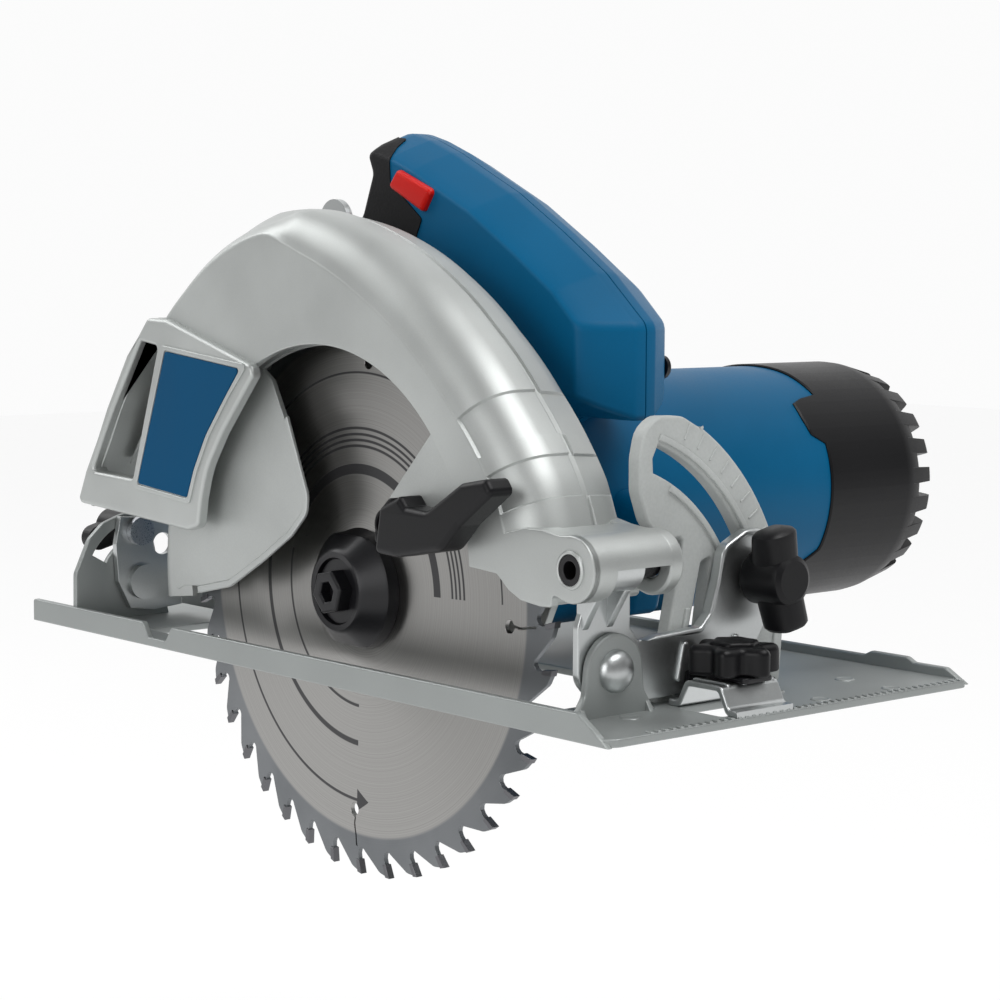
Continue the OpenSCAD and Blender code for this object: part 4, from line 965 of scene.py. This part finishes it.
def lobed(u, v, radius, depth, count, steps):
    """Closed outline round (u, v) with rounded lobes."""
    out = []
    for k in range(steps):
        t = 2 * math.pi * k / steps
        r = radius + depth * math.cos(count * t)
        out.append((u + r * math.cos(t), v + r * math.sin(t)))
    return out


def knob_parts():
    knob = Part()
    knob.slab([lobed(*GUIDE_KNOB, 11.6, 2.2, 6, 120)], 13, 21.4, "z", 0.8, 2.2, 6)
    knob.slab([lobed(*GUIDE_KNOB, 7, 0.5, 6, 72)], 21, 22.6, "z", 0.1, 1.1, 4)
    build(knob, "guide_knob")

    wing = Part()
    cy, cz = WING_KNOB
    wing.turn([(3.1, 128.4), (7.6, 128.4), (8.4, 129.4), (8.4, 141), (7.6, 143.2), (6, 144.2),
               (0, 144.2)], cy, cz, "x", 56)
    tilt = math.radians(12)
    steps = 12
    for s in (-1, 1):
        levels = []
        for k in range(steps + 1):
            t = k / steps
            round_off = 1 - ((k - 9.6) / 2.6) ** 2
            reach = s * (4 + 12.4 * t)
            half_width = (6.2 + 0.6 * t) * (1 if k < 10 else math.sqrt(max(0.02, round_off)))
            half_depth = (6.8 - 1.2 * t) * (1 if k < 10 else math.sqrt(max(0.03, round_off)))
            loop = []
            for j in range(24):
                a = 2 * math.pi * j / 24
                u = half_width * math.copysign(abs(math.cos(a)) ** 0.75, math.cos(a))
                w = half_depth * math.copysign(abs(math.sin(a)) ** 0.75, math.sin(a))
                y = cy + u * math.cos(tilt) - reach * math.sin(tilt)
                z = cz + u * math.sin(tilt) + reach * math.cos(tilt)
                loop.append((136.8 + 1.6 * t + w, y, z))
            levels.append(loop)
        wing.loft(levels)
    build(wing, "front_bevel_knob")


upper_guard()
lower_guard()
saw_blade()
handle_parts()
motor_parts()
base_parts()
knob_parts()

# every other CAD node keeps its own mesh, with its finish and softened edges
for name, node in frame["nodes"].items():
    if name in replaced:
        continue
    node.data.materials.clear()
    node.data.materials.append(MATERIALS[SLOT_OF[name]])
    merge = node.modifiers.new("Merge", "WELD")
    merge.merge_threshold = 0.00001
    bevel = node.modifiers.new("Edges", "BEVEL")
    bevel.width = 0.0003
    bevel.segments = 2
    bevel.limit_method = "ANGLE"
    bevel.angle_limit = math.radians(35)
    normals = node.modifiers.new("Normals", "WEIGHTED_NORMAL")
    normals.keep_sharp = True

# ---------- light, floor and camera ----------
scene = bpy.context.scene


def pane(name, corners):
    """A flat sheet, divided so that it exports as a plain grid."""
    mesh = bpy.data.meshes.new(name)
    bm = bmesh.new()
    bm.faces.new([bm.verts.new(Vector(c)) for c in corners])
    bmesh.ops.subdivide_edges(bm, edges=bm.edges, cuts=6, use_grid_fill=True)
    bm.to_mesh(mesh)
    bm.free()
    ob = bpy.data.objects.new(name, mesh)
    scene.collection.objects.link(ob)
    return ob


FLOOR_HALF, FLOOR_Z = 4, -0.2
floor_corners = ((-1, -1), (1, -1), (1, 1), (-1, 1))
floor = pane("floor", [(FLOOR_HALF * x, FLOOR_HALF * y, FLOOR_Z) for x, y in floor_corners])
floor.data.materials.append(PAPER)


def lamp(name, at, size, power):
    """A soft rectangular light that shines at the saw."""
    aim = (0, 0, 0.05)
    data = bpy.data.lights.new(name, "AREA")
    data.shape = "RECTANGLE"
    data.size, data.size_y = size
    data.energy = power
    ob = bpy.data.objects.new(name, data)
    ob.location = at
    ob.rotation_euler = (Vector(aim) - Vector(at)).to_track_quat("-Z", "Y").to_euler()
    scene.collection.objects.link(ob)


lamp("key", (0.9, 0.2, 1.6), (1.4, 1.0), 22)
lamp("front", (0.4, -1.6, 0.5), (1.2, 0.9), 9)
lamp("back", (-1.2, -0.6, 1.2), (1.0, 1.0), 9)

world = bpy.data.worlds.new("studio")
scene.world = world
world.use_nodes = True
# a white backdrop behind the saw and a dimmer room behind the camera
sky = world.node_tree
facing = sky.nodes.new("ShaderNodeVectorMath")
facing.operation = "DOT_PRODUCT"
facing.inputs[1].default_value = (-0.755, 0.655, 0)
fade = sky.nodes.new("ShaderNodeMapRange")
for key, value in (("From Min", 0.0), ("From Max", 0.75), ("To Min", 0.2), ("To Max", 0.97)):
    fade.inputs[key].default_value = value
sky.links.new(sky.nodes.new("ShaderNodeTexCoord").outputs["Generated"], facing.inputs[0])
sky.links.new(facing.outputs["Value"], fade.inputs["Value"])
sky.links.new(fade.outputs["Result"], sky.nodes["Background"].inputs["Strength"])
sky.nodes["Background"].inputs["Color"].default_value = (1, 1, 1, 1)
scene.view_settings.view_transform = "Standard"

CAMERA_AT = (0.63304, -0.52808, 0.13325)
az, el, roll = (math.radians(v) for v in (49.32, 5.61, 0.28))
back = Vector((math.sin(az) * math.cos(el), -math.cos(az) * math.cos(el), math.sin(el)))
right = Vector((math.cos(az), math.sin(az), 0))
up = back.cross(right)
level = right * math.cos(roll) + up * math.sin(roll)
upright = up * math.cos(roll) - right * math.sin(roll)
camera = bpy.data.objects.new("camera", bpy.data.cameras.new("camera"))
camera.data.lens = 87.1
camera.data.sensor_width = 36
camera.matrix_world = Matrix.Translation(CAMERA_AT) @ Matrix((level, upright, back)).transposed().to_4x4()
scene.collection.objects.link(camera)
scene.camera = camera
